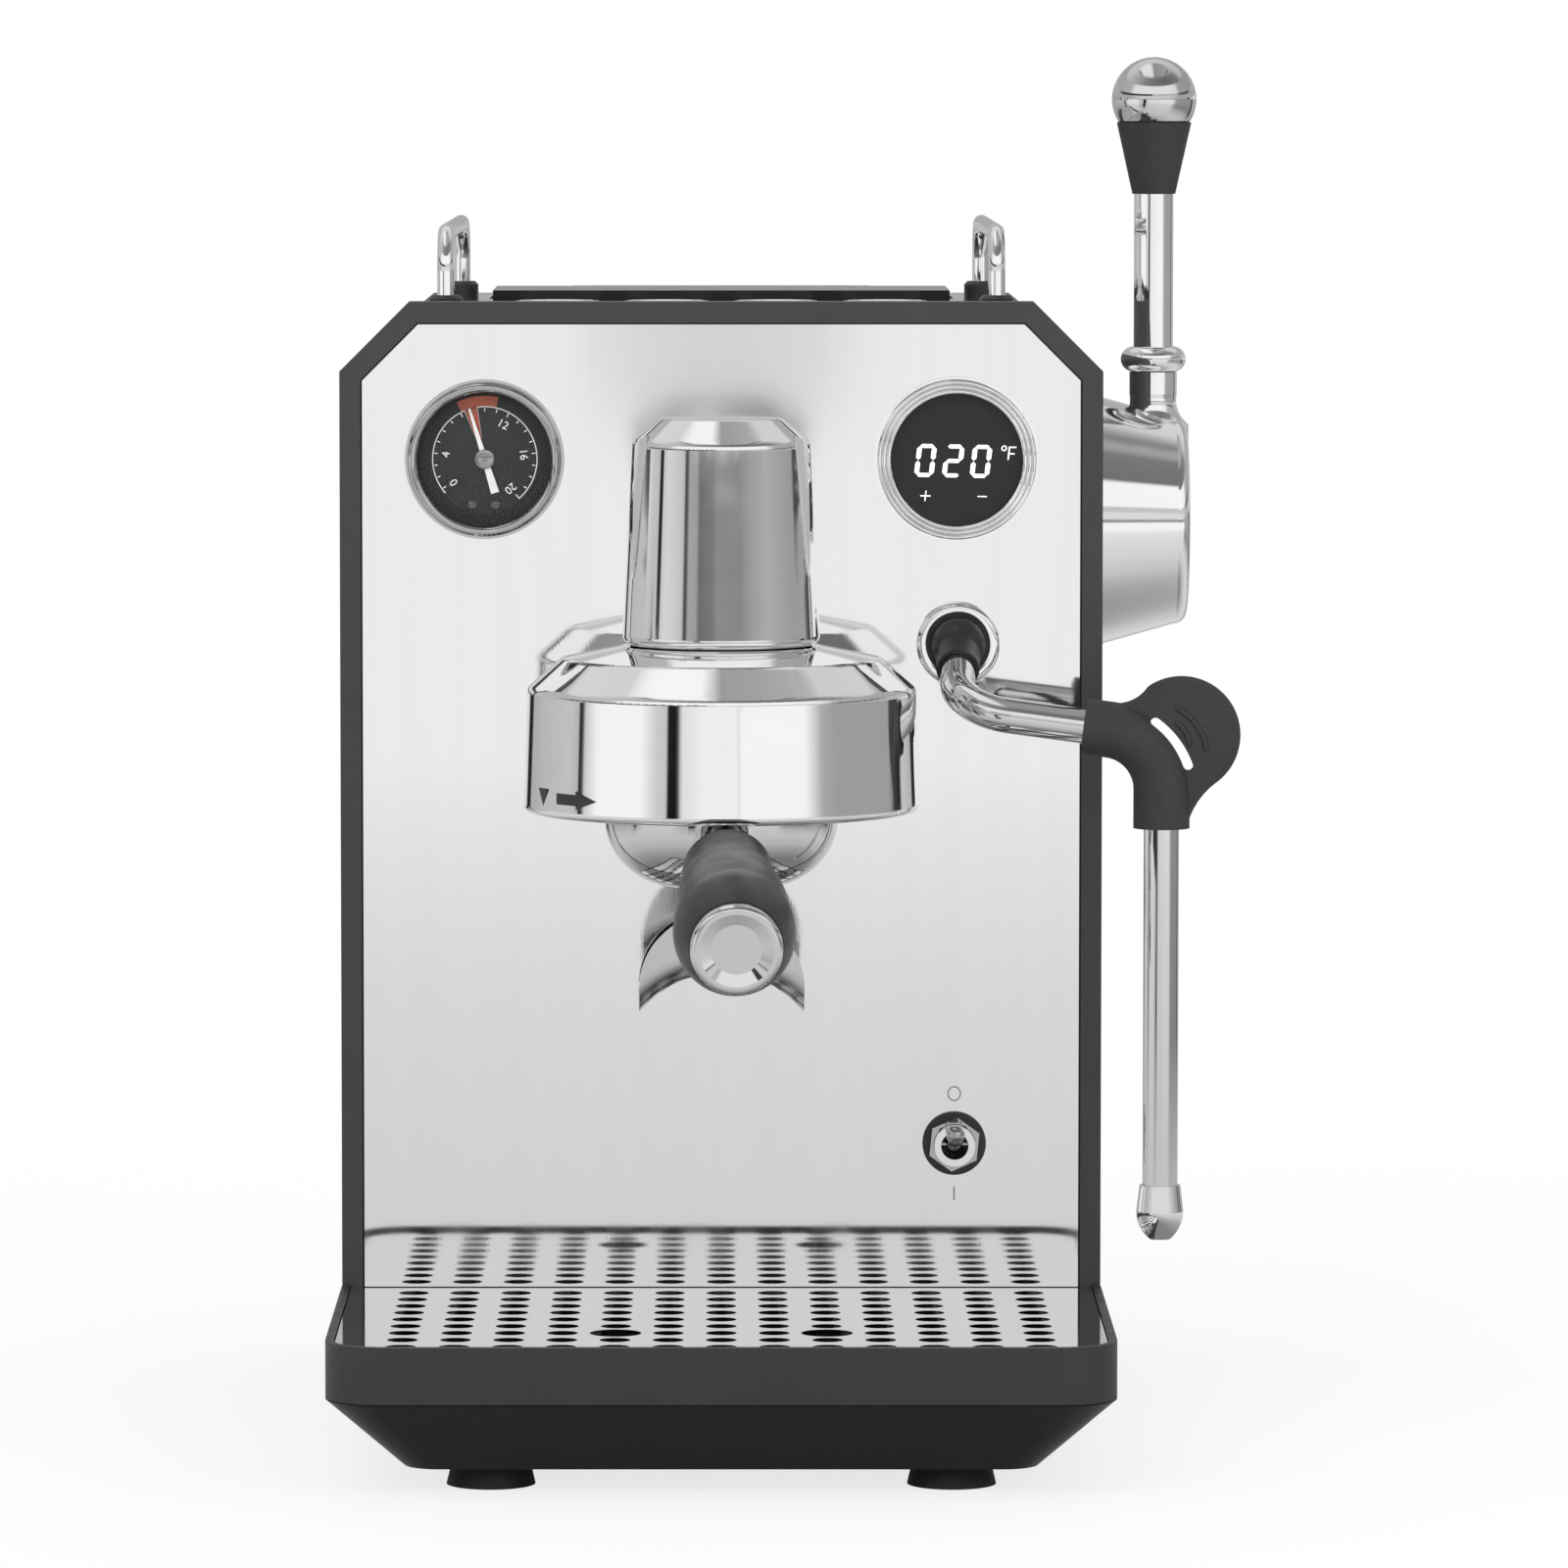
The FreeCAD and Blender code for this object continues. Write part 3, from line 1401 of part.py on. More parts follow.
def make_toggle():
    bore = size.bushing_width / 2 + size.slip_fit
    washer_rim = size.washer_width / 2
    washer = turned("toggle_washer",
                    [(bore, 0), (washer_rim, 0), (washer_rim, size.washer_thick),
                     (bore, size.washer_thick)])
    nut = new_body("toggle_nut")
    hexagon = new_sketch(nut, "XY_Plane", size.washer_thick)
    corner = size.nut_flats / math.sqrt(3)
    flat = size.nut_flats / 2
    draw_path(hexagon,
              [(corner, 0), (corner / 2, flat), (-corner / 2, flat), (-corner, 0),
               (-corner / 2, -flat), (corner / 2, -flat)])
    draw_circle(hexagon, 0, 0, bore)
    pad(nut, hexagon, size.nut_thick)
    outer = size.bushing_width / 2
    throat = size.bushing_bore / 2
    bushing = turned("toggle_bushing", [
        (throat, -size.bushing_back), (outer, -size.bushing_back), (outer, size.bushing_front),
        (throat, size.bushing_front),
    ])
    cross = new_sketch(bushing, "YZ_Plane")
    draw_circle(cross, 0, size.bat_pivot, size.bat_pin_width / 2 + size.running_fit)
    pocket(bushing, cross, both_ways=True)
    nut_turn = facing_front.multiply(FreeCAD.Rotation(FreeCAD.Vector(0, 0, 1), size.nut_turn.value))
    for piece, turn in ((washer, facing_front), (nut, nut_turn), (bushing, facing_front)):
        place(piece, size.toggle_offset, 0, size.toggle_height, turn)
    make_toggle_bat()
    switch = new_body("toggle_body")
    outline = new_sketch(switch, "XZ_Plane", -size.bushing_back)
    draw_path(outline,
              box_path(-size.switch_width / 2, size.switch_width / 2, -size.switch_tall / 2,
                       size.switch_tall / 2))
    pad(switch, outline, size.switch_depth, backward=True)
    place(switch, size.toggle_offset, 0, size.toggle_height)


def make_toggle_bat():
    """Bat that swells to its rounded end and turns on a cross pin in the bushing."""
    ball = size.bat_ball_width / 2
    neck = size.bat_neck_width / 2
    heel = size.bat_heel_width / 2
    crown = size.bat_length - ball
    body = turned("toggle_bat", [
        (0, -heel, heel), (heel, 0, heel), (neck, root(heel * heel - neck * neck)),
        (ball, crown, ball), (0, size.bat_length),
    ])
    pin = new_sketch(body, "YZ_Plane", -size.bat_pin_length / 2)
    draw_circle(pin, 0, 0, size.bat_pin_width / 2)
    pad(body, pin, size.bat_pin_length)
    lean = FreeCAD.Rotation(FreeCAD.Vector(1, 0, 0), 90 - size.bat_lean.value)
    place(body, size.toggle_offset, size.bat_pivot, size.toggle_height, lean)


def make_lever_hub():
    """Cone hub turned about the lever's axis, with an upright neck and ring cast on its rim."""
    body = new_body("lever_hub")
    cone = new_sketch(body, "XZ_Plane")
    rim = size.hub_width / 2
    face = size.hub_face_width / 2
    turn_over = size.hub_round
    draw_path(cone, [
        (size.hub_gap, 0), (size.hub_length, 0), (size.hub_length, face - turn_over, turn_over),
        (size.hub_length - turn_over, face), (size.hub_gap, rim),
    ])
    revolve(body, cone, "H_Axis")
    neck = new_sketch(body, "XZ_Plane", 0, size.neck_reach)
    waist = size.lever_neck_width / 2
    ring = size.lever_ring_width / 2
    bead = (size.lever_ring_top - size.lever_ring_low) / 2
    ring_low = size.lever_ring_low - size.lever_height
    low = size.hub_face_width / 4
    draw_path(neck, [
        (0, low), (size.lever_neck_root_width / 2, low),
        (size.lever_neck_root_width / 2, size.lever_neck_root - size.lever_height, -size.lever_neck_flare),
        (waist, size.lever_neck_waist - size.lever_height), (waist, ring_low),
        (ring - bead, ring_low, bead),
        (ring, ring_low + bead, bead), (ring - bead, ring_low + 2 * bead), (0, ring_low + 2 * bead),
    ])
    revolve(body, neck)
    place(body, casing_side, -size.lever_behind, size.lever_height)


def make_lever_arm():
    stem_radius = size.stem_width / 2
    core = size.stem_core_width / 2
    knob = size.knob_width / 2
    cup = knob + size.slip_fit
    core_top = size.knob_centre - knob
    stem = turned("lever_stem", [
        (0, size.lever_ring_top), (stem_radius, size.lever_ring_top), (stem_radius, size.stem_top),
        (core, size.stem_top),
        (core, core_top - size.free_gap), (0, core_top - size.free_gap),
    ])
    bore = core + size.slip_fit
    rise = size.knob_centre - size.rubber_top
    mouth = root(cup * cup - rise * rise)
    low_rise = root(cup * cup - bore * bore)
    collar = turned("lever_collar", [
        (bore, size.stem_top), (size.rubber_foot_width / 2, size.stem_top),
        (size.rubber_width / 2, size.rubber_top),
        (mouth, size.rubber_top, -cup), (bore, size.knob_centre - low_rise),
    ])
    ball = turned("lever_knob", [
        (0, size.knob_centre - knob, knob), (knob, size.knob_centre, knob),
        (0, size.knob_centre + knob),
    ])
    for piece in (stem, collar, ball):
        place(piece, casing_side + size.neck_reach, -size.lever_behind)


def make_lever_mount():
    inner_face = casing_side - size.sheet
    plate_face = inner_face - size.bearing_plate_thick
    bore = size.spindle_width / 2 + size.running_fit
    spindle = new_body("lever_spindle")
    shaft = new_sketch(spindle, "YZ_Plane", casing_side + size.hub_gap - size.spindle_length)
    draw_circle(shaft, 0, 0, size.spindle_width / 2)
    pad(spindle, shaft, size.spindle_length)
    bearing = new_body("lever_bearing")
    plate = new_sketch(bearing, "YZ_Plane", plate_face)
    half_width = size.bearing_plate_width / 2
    half_tall = size.bearing_plate_tall / 2
    draw_path(plate, box_path(-half_width, half_width, -half_tall, half_tall))
    draw_circle(plate, 0, 0, bore)
    pad(bearing, plate, size.bearing_plate_thick)
    barrel = new_sketch(bearing, "YZ_Plane", inner_face)
    draw_circle(barrel, 0, 0, size.bearing_barrel_width / 2)
    draw_circle(barrel, 0, 0, bore)
    pad(bearing, barrel, size.sheet)
    block = new_body("lever_valve_block")
    outline = new_sketch(block, "YZ_Plane", plate_face - size.valve_thick)
    draw_path(outline,
              box_path(-size.valve_width / 2, size.valve_width / 2, -size.valve_tall / 2,
                       size.valve_tall / 2))
    draw_circle(outline, 0, 0, bore)
    pad(block, outline, size.valve_thick)
    for piece in (spindle, bearing, block):
        place(piece, 0, -size.lever_behind, size.lever_height)


def make_drip_tray():
    """Open tray with an inner ledge for the grate, whose back wall stops under the grate."""
    body = new_body("drip_tray")
    front = size.base_reach - size.tray_front_inset
    back = -size.frame_proud - size.tray_rear_gap
    rear_round = size.tray_wall
    outer = new_sketch(body, "XY_Plane", tray_low)
    draw_path(outer, rounded_path(-half_body, half_body, -front, back, size.base_corner, rear_round))
    pad(body, outer, size.tray_top - tray_low)
    inset = size.tray_wall
    recess = new_sketch(body, "XY_Plane", size.tray_top)
    corner = size.base_corner - inset
    side = half_body - inset
    draw_path(recess, [
        (side, 0), (-side, 0), (-side, inset + corner - front, corner), (corner - side, inset - front),
        (side - corner, inset - front, corner), (side, inset + corner - front),
    ])
    pocket(body, recess, size.tray_top - grate_low)
    basin = new_sketch(body, "XY_Plane", grate_low)
    inset = size.tray_wall + size.tray_ledge
    draw_path(basin, rounded_path(inset - half_body, half_body - inset, inset - front, back - inset,
                                  size.base_corner - inset, rear_round))
    pocket(body, basin, grate_low - tray_low - size.tray_floor)
    place(body)


def make_drip_grate():
    """Plate with rows of drain holes and two larger finger holes."""
    body = new_body("drip_grate")
    inset = size.tray_wall + size.grate_gap
    front = size.base_reach - size.tray_front_inset - inset
    side = half_body - inset
    outline = new_sketch(body, "XY_Plane", grate_low)
    back = -size.frame_proud - size.tray_rear_gap
    draw_path(outline,
              rounded_path(-side, side, -front, back, size.base_corner - inset, size.tray_wall))
    pad(body, outline, size.grate_thick)
    drain = new_sketch(body, "XY_Plane", size.grate_top)
    last_row = size.grate_first_row + size.grate_row_pitch * (grate_rows - 1)
    draw_circle(drain, -size.grate_column_pitch * (grate_columns - 1) / 2, -last_row,
                size.grate_hole / 2)
    hole = pocket(body, drain)
    repeat(body, hole, "X_Axis", size.grate_column_pitch, grate_columns, "Y_Axis",
           size.grate_row_pitch, grate_rows)
    fingers = new_sketch(body, "XY_Plane", size.grate_top)
    row_line = -size.grate_first_row - size.grate_row_pitch * (finger_hole_row - 1)
    for side_sign in (-1, 1):
        draw_circle(fingers, side_sign * finger_hole_columns * size.grate_column_pitch, row_line,
                    size.finger_hole / 2)
    pocket(body, fingers)
    place(body)


def make_water_tank():
    """Open tank with two ears at its back rim that carry the lid's pins."""
    body = new_body("water_tank")
    side = size.tank_width / 2
    corner = size.tank_corner
    wall = size.tank_wall
    low = size.shelf_top + size.free_gap
    outer = new_sketch(body, "XY_Plane", low)
    draw_path(outer, rounded_path(-side, side, size.tank_front, size.tank_back, corner, corner))
    pad(body, outer, size.tank_rim - low)
    hollow = new_sketch(body, "XY_Plane", size.tank_rim)
    draw_path(hollow,
              rounded_path(wall - side, side - wall, size.tank_front + wall, size.tank_back - wall,
                                   corner - wall, corner - wall))
    pocket(body, hollow, size.tank_rim - low - size.tank_floor)
    ear_near = size.lid_tongue_width / 2 + size.ear_gap
    ear_far = ear_near + size.tank_ear_thick
    for left, right in ((ear_near, ear_far), (-ear_far, -ear_near)):
        ear = new_sketch(body, "XY_Plane", size.tank_ear_root)
        draw_path(ear, box_path(left, right, size.tank_ear_front, size.tank_back))
        pad(body, ear, size.lid_top - size.tank_ear_root)
    bore = new_sketch(body, "YZ_Plane")
    draw_circle(bore, size.lid_axis, (size.lid_low + size.lid_top) / 2,
                size.lid_pin_width / 2 + size.running_fit)
    pocket(body, bore, both_ways=True)
    place(body)


def make_tank_lid():
    """Plate with a plug inside the tank's mouth and a rounded tongue that carries the hinge pins."""
    body = new_body("tank_lid")
    side = size.lid_width / 2
    tongue = size.lid_tongue_width / 2
    axis_height = (size.lid_low + size.lid_top) / 2
    plate = new_sketch(body, "XY_Plane", size.lid_low)
    draw_path(plate, [
        (-side, size.lid_front), (side, size.lid_front), (side, size.lid_back), (tongue, size.lid_back),
        (tongue, size.lid_axis), (-tongue, size.lid_axis), (-tongue, size.lid_back),
        (-side, size.lid_back),
    ])
    pad(body, plate, size.lid_top - size.lid_low)
    roll_radius = (size.lid_top - size.lid_low) / 2
    for radius, reach in (roll_radius, tongue), (size.lid_pin_width / 2, tongue + size.lid_pin_reach):
        roll = new_sketch(body, "YZ_Plane", -reach)
        draw_circle(roll, size.lid_axis, axis_height, radius)
        pad(body, roll, reach * 2)
    plug = new_sketch(body, "XY_Plane", size.lid_low - size.lid_plug_depth)
    inset = size.tank_wall + size.lid_plug_gap
    plug_side = size.tank_width / 2 - inset
    plug_round = size.tank_corner - size.tank_wall
    draw_path(plug,
              rounded_path(-plug_side, plug_side, size.tank_front + inset, size.lid_back - inset,
                           plug_round, plug_round))
    pad(body, plug, size.lid_plug_depth)
    place(body)


def make_tank_shelf():
    body = new_body("tank_shelf")
    side = casing_side - size.sheet
    outline = new_sketch(body, "XY_Plane", size.shelf_top - size.shelf_thick)
    draw_path(outline, box_path(-side, side, size.notch_behind, size.body_depth - size.sheet))
    pad(body, outline, size.shelf_thick)
    dock = new_sketch(body, "XY_Plane", size.dock_low)
    draw_circle(dock, size.dock_offset, size.dock_behind, size.dock_width / 2)
    pad(body, dock, size.shelf_top - size.shelf_thick - size.dock_low)
    place(body)


def make_boiler():
    """Flanged drum with a domed back and three bosses for its pipes and a fourth for the valve."""
    radius = size.boiler_width / 2
    flange = size.boiler_flange_width / 2
    dome = size.boiler_dome
    flange_back = -size.boiler_front - size.boiler_flange_thick
    body = turned("boiler", [
        (0, -size.boiler_back), (radius - dome, -size.boiler_back, dome),
        (radius, dome - size.boiler_back),
        (radius, flange_back), (flange, flange_back), (flange, -size.boiler_front),
        (0, -size.boiler_front),
    ])
    boss = size.boiler_boss_width / 2
    for backward in (False, True):
        sides = new_sketch(body, "YZ_Plane")
        draw_circle(sides, 0, -size.boss_line, boss)
        pad(body, sides, size.boiler_boss_reach, backward)
        uprights = new_sketch(body, "XZ_Plane")
        draw_circle(uprights, 0, -size.boss_line, boss)
        pad(body, uprights,
            size.neck_height - size.valve_top if not backward else size.boiler_boss_reach, backward)
    place(body, 0, 0, size.neck_height, facing_front)


def make_solenoid_valve():
    coil = size.coil_width / 2
    stem = size.solenoid_stem_width / 2
    body = turned("solenoid_valve", [
        (0, size.solenoid_low), (coil, size.solenoid_low), (coil, size.coil_top), (stem, size.coil_top),
        (stem, size.valve_top), (0, size.valve_top),
    ])
    place(body, 0, -size.boss_line)


def make_pump():
    """Pump barrel on a saddle, with a suction nose at its back and an outlet port on top."""
    radius = size.pump_width / 2
    nose = size.pump_nose_width / 2
    nose_back = -size.pump_back - size.pump_nose
    body = turned("pump", [
        (0, nose_back), (nose, nose_back), (nose, -size.pump_back), (radius, -size.pump_back),
        (radius, -size.pump_front), (0, -size.pump_front),
    ])
    saddle = new_sketch(body, "XZ_Plane")
    half = size.saddle_width / 2
    draw_path(saddle,
              box_path(-half, half, -size.boss_line - size.saddle_length / 2,
                       size.saddle_length / 2 - size.boss_line))
    pad(body, saddle, size.pump_axis - size.foot_height - size.base_floor)
    port = new_sketch(body, "XZ_Plane")
    draw_circle(port, 0, -size.boss_line, nose)
    pad(body, port, size.pump_port_top - size.pump_axis, backward=True)
    place(body, -size.pump_offset, 0, size.pump_axis, facing_front)


def make_control_board():
    """Board on four standoffs against the left side panel, with two relays."""
    body = new_body("control_board")
    wall = size.sheet - casing_side
    face = wall + size.standoff_height
    front = size.board_behind
    back = front + size.board_length
    top = size.board_low + size.board_tall
    board = new_sketch(body, "YZ_Plane", face)
    draw_path(board, box_path(front, back, size.board_low, top))
    pad(body, board, size.board_thick)
    posts = new_sketch(body, "YZ_Plane", wall)
    inset = size.standoff_inset
    for along in (front + inset, back - inset):
        for up in (size.board_low + inset, top - inset):
            draw_circle(posts, along, up, size.standoff_width / 2)
    pad(body, posts, size.standoff_height)
    relays = new_sketch(body, "YZ_Plane", face + size.board_thick)
    for up in (size.board_low + inset * 2, top - inset * 2 - size.relay_tall):
        draw_path(relays,
                  box_path(front + inset * 2, front + inset * 2 + size.relay_width, up,
                           up + size.relay_tall))
    pad(body, relays, size.relay_thick)
    place(body)


def make_pipes():
    """Suction hose from the tank dock, feed pipe, steam pipe and gauge capillary."""
    suction = [
        in_space(size.dock_offset, -size.dock_behind, size.dock_low),
        in_space(size.dock_offset, -size.dock_behind, size.pump_axis - size.free_gap),
        in_space(-size.pump_offset, -size.dock_behind, size.pump_axis - size.free_gap),
        in_space(-size.pump_offset, -size.pump_back - size.pump_nose, size.pump_axis - size.free_gap),
    ]
    feed = [
        in_space(-size.pump_offset, -size.boss_line, size.pump_port_top),
        in_space(-size.pump_offset, -size.boss_line, size.neck_height),
        in_space(-size.boiler_boss_reach, -size.boss_line, size.neck_height),
    ]
    steam = [
        in_space(size.boiler_boss_reach, -size.boss_line, size.neck_height),
        in_space(size.wand_offset, -size.boss_line, size.neck_height),
        in_space(size.wand_offset, -size.boss_line, size.wand_height),
        in_space(size.wand_offset, -size.wand_seat_depth - size.free_gap, size.wand_height),
    ]
    capillary = [
        in_space(-size.gauge_offset, -size.gauge_depth - size.gauge_port_length, size.dial_height),
        in_space(-size.gauge_offset, -size.boss_line, size.dial_height),
        in_space(0, -size.boss_line, size.dial_height),
        in_space(0, -size.boss_line, size.neck_height + size.boiler_boss_reach),
    ]
    runs = ((suction, size.hose_width), (feed, size.pipe_width), (steam, size.pipe_width),
            (capillary, size.capillary_width))
    rods = [rod_along(bent_wire(points, size.pipe_bend.value), width.value / 2)
            for points, width in runs]
    new_shape("pipes", Part.makeCompound(rods))


make_base()
make_feet()
make_front_frame()
make_front_panel()
make_side_panel("side_panel_left", -1)
make_side_panel("side_panel_right", 1)
make_top_plate()
make_back_panel()
make_power_inlet()
make_cup_rail("cup_rail_left", -1)
make_cup_rail("cup_rail_right", 1)
make_rail_collars()
make_gauge()
make_display()
make_group_cover()
make_group_bell()
make_group_head()
make_bayonet_ring()
make_gasket_and_screen()
make_portafilter_bowl()
make_filter_basket()
make_portafilter_spout()
make_handle()
make_wand_mount()
make_wand_ball()
make_steam_tube()
make_wand_grip()
make_wand_tip()
make_toggle()
make_lever_hub()
make_lever_arm()
make_lever_mount()
make_drip_tray()
make_drip_grate()
make_water_tank()
make_tank_lid()
make_tank_shelf()
make_boiler()
make_solenoid_valve()
make_pump()
make_control_board()
make_pipes()

doc.recompute()
faults = [item.Label for item in doc.Objects if {"Invalid", "Error"} & set(item.State)]
for part in sub_parts:
    if part.Shape.isNull() or not part.Shape.isValid() or not part.Shape.Solids:
        faults.append(part.Label)
if faults:
    raise RuntimeError("not built: " + ", ".join(faults))
os.makedirs("parts", exist_ok=True)
for part in sub_parts:
    part.Shape.exportStep(f"parts/{part.Label}.step")
print(len(sub_parts), "sub-parts")
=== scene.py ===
import bpy
import json
import math
import numpy as np
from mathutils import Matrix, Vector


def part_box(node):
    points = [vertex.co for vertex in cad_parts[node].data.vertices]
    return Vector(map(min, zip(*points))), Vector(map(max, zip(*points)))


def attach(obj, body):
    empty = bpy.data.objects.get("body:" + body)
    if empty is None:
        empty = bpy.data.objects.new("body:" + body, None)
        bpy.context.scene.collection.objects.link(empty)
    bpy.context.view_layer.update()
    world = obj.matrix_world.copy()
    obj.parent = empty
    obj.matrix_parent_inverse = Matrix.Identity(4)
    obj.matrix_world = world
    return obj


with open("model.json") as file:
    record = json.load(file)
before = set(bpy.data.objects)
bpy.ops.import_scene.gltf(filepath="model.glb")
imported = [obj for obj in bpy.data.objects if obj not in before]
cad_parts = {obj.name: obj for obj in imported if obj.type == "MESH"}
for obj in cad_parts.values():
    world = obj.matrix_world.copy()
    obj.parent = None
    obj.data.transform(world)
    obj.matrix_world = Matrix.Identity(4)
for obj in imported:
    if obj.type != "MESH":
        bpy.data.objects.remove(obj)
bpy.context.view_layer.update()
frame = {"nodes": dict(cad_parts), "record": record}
nodes = frame["nodes"]

# every added piece is placed in millimetres from the middle line, the front panel's face and the counter
mm = 0.001
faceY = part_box("front_panel")[0].y
frameLow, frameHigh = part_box("front_frame")
middleX = (frameLow.x + frameHigh.x) / 2
print("frame loaded:", len(nodes), "nodes")


def spot(across, ahead, up):
    places = np.broadcast_arrays(middleX + np.asarray(across) * mm, faceY - np.asarray(ahead) * mm, np.asarray(up) * mm)
    return np.stack(places, axis=-1).astype(float)


# an emptied node tree: add makes a node from its settings and the plain values of its sockets
def nodeGraph(tree):
    tree.nodes.clear()

    def add(kind, values=None, **settings):
        node = tree.nodes.new(kind)
        for key, setting in settings.items():
            setattr(node, key, setting)
        for socket, value in (values or {}).items():
            node.inputs[socket].default_value = value
        return node

    return add, tree.links.new


# a value carried from one span onto another
def mapRange(add, link, source, span, onto=(0, 1), curve="LINEAR"):
    values = dict(zip(("From Min", "From Max", "To Min", "To Max"), (*span, *onto)))
    node = add("ShaderNodeMapRange", values, interpolation_type=curve)
    link(source, node.inputs["Value"])
    return node.outputs["Result"]


plainWhite = (1, 1, 1, 1)
metal = {"Metallic": 1.0}
noiseSpan = (0.3, 0.7)  # most of the noise lies here
noiseDetail = {"tint": 4, "rough": 5, "bump": 3}
usual = {"tint": 0.06, "tintGrain": 40, "roughGrain": 70, "stretch": (1, 1, 1), "sockets": {}}


# each finish: grain is features per metre, tint is the share by which the noise moves the colour, rough is the span
# of roughness, haze is a patch of added roughness that fades from an inner to an outer distance from its centre
def makeFinish(name, look):
    look = {**usual, **look}
    material = bpy.data.materials.new(name)
    material.use_nodes = True
    add, link = nodeGraph(material.node_tree)
    output = add("ShaderNodeOutputMaterial")
    shader = add("ShaderNodeBsdfPrincipled", look["sockets"])
    link(shader.outputs["BSDF"], output.inputs["Surface"])
    coordinates = add("ShaderNodeTexCoord")
    mapping = add("ShaderNodeMapping", {"Scale": look["stretch"]})
    link(coordinates.outputs["Object"], mapping.inputs["Vector"])

    def noise(use):
        texture = add("ShaderNodeTexNoise", {"Scale": look[use + "Grain"], "Detail": noiseDetail[use]})
        link(mapping.outputs["Vector"], texture.inputs["Vector"])
        return texture.outputs["Fac"]

    tint = add("ShaderNodeValToRGB")
    dark, light = tint.color_ramp.elements
    base, spread = np.array(look["base"]), look["tint"]
    dark.position, light.position = noiseSpan
    dark.color = (*(base * (1 - spread)), 1)
    light.color = (*np.minimum(base * (1 + spread), 1), 1)
    link(noise("tint"), tint.inputs["Fac"])
    link(tint.outputs["Color"], shader.inputs["Base Color"])

    roughness = mapRange(add, link, noise("rough"), noiseSpan, look["rough"])
    if "haze" in look:
        haze = look["haze"]
        away = add("ShaderNodeVectorMath", {1: haze["centre"]}, operation="DISTANCE")
        link(coordinates.outputs["Object"], away.inputs[0])
        fade = (haze["inner"], haze["outer"])
        added = mapRange(add, link, away.outputs["Value"], fade, (haze["added"], 0), "SMOOTHERSTEP")
        total = add("ShaderNodeMath", operation="ADD")
        link(roughness, total.inputs[0])
        link(added, total.inputs[1])
        roughness = total.outputs["Value"]
    link(roughness, shader.inputs["Roughness"])

    if "bump" in look:
        strength, distance = look["bump"]
        bump = add("ShaderNodeBump", {"Strength": strength, "Distance": distance})
        link(noise("bump"), bump.inputs["Height"])
        link(bump.outputs["Normal"], shader.inputs["Normal"])
    return material


# the record's slot of each node picks its finish
finishes = {
    "polished_steel": {"base": (0.87, 0.87, 0.875), "tint": 0.01, "rough": (0.03, 0.055), "roughGrain": 25,
                       "bump": (0.015, 0.0002), "bumpGrain": 900, "stretch": (4, 1, 0.15), "sockets": metal},
    "chrome": {"base": (0.9, 0.9, 0.905), "tint": 0.015, "rough": (0.02, 0.06), "roughGrain": 90, "sockets": metal},
    "steel": {"base": (0.58, 0.58, 0.59), "tint": 0.05, "rough": (0.25, 0.38), "stretch": (1, 1, 12),
              "bump": (0.1, 0.0002), "bumpGrain": 500, "sockets": metal},
    "brass": {"base": (0.72, 0.53, 0.26), "tint": 0.08, "rough": (0.22, 0.36), "sockets": metal},
    "black_enamel": {"base": (0.036, 0.037, 0.038), "rough": (0.36, 0.46), "roughGrain": 200,
                     "bump": (0.12, 0.0002), "bumpGrain": 1800},
    "gloss_black": {"base": (0.012, 0.012, 0.0125), "tint": 0.1, "rough": (0.1, 0.2), "roughGrain": 60,
                    "bump": (0.03, 0.0003), "bumpGrain": 300,
                    "sockets": {"Specular IOR Level": 0.3, "Coat Weight": 0.1, "Coat Roughness": 0.06}},
    "black_plastic": {"base": (0.02, 0.02, 0.0205), "tint": 0.08, "rough": (0.3, 0.42), "roughGrain": 120,
                      "bump": (0.08, 0.0002), "bumpGrain": 2200},
    "rubber": {"base": (0.029, 0.029, 0.0295), "tint": 0.1, "rough": (0.55, 0.72), "roughGrain": 160,
               "bump": (0.2, 0.0003), "bumpGrain": 1600},
    "dial": {"base": (0.011, 0.0115, 0.012), "rough": (0.5, 0.62), "bump": (0.05, 0.0001), "bumpGrain": 3000,
             "sockets": {"Specular IOR Level": 0.1}},
    "needle": {"base": (0.85, 0.85, 0.84), "tint": 0.02, "rough": (0.4, 0.5)},
    "lens": {"base": (0.9, 0.92, 0.93), "tint": 0.01, "rough": (0.02, 0.05), "sockets": {"Alpha": 0.02}},
    "dark_glass": {"base": (0.02, 0.02, 0.021), "tint": 0.05, "rough": (0.12, 0.2),
                   "sockets": {"Specular IOR Level": 0.25}},
    "clear_plastic": {"base": (0.7, 0.73, 0.75), "tint": 0.03, "rough": (0.1, 0.2), "sockets": {"Alpha": 0.45}},
    "circuit_board": {"base": (0.03, 0.16, 0.07), "tint": 0.15, "rough": (0.4, 0.55), "tintGrain": 300},
}
slotFinish = {slot: makeFinish(slot, look) for slot, look in finishes.items()}

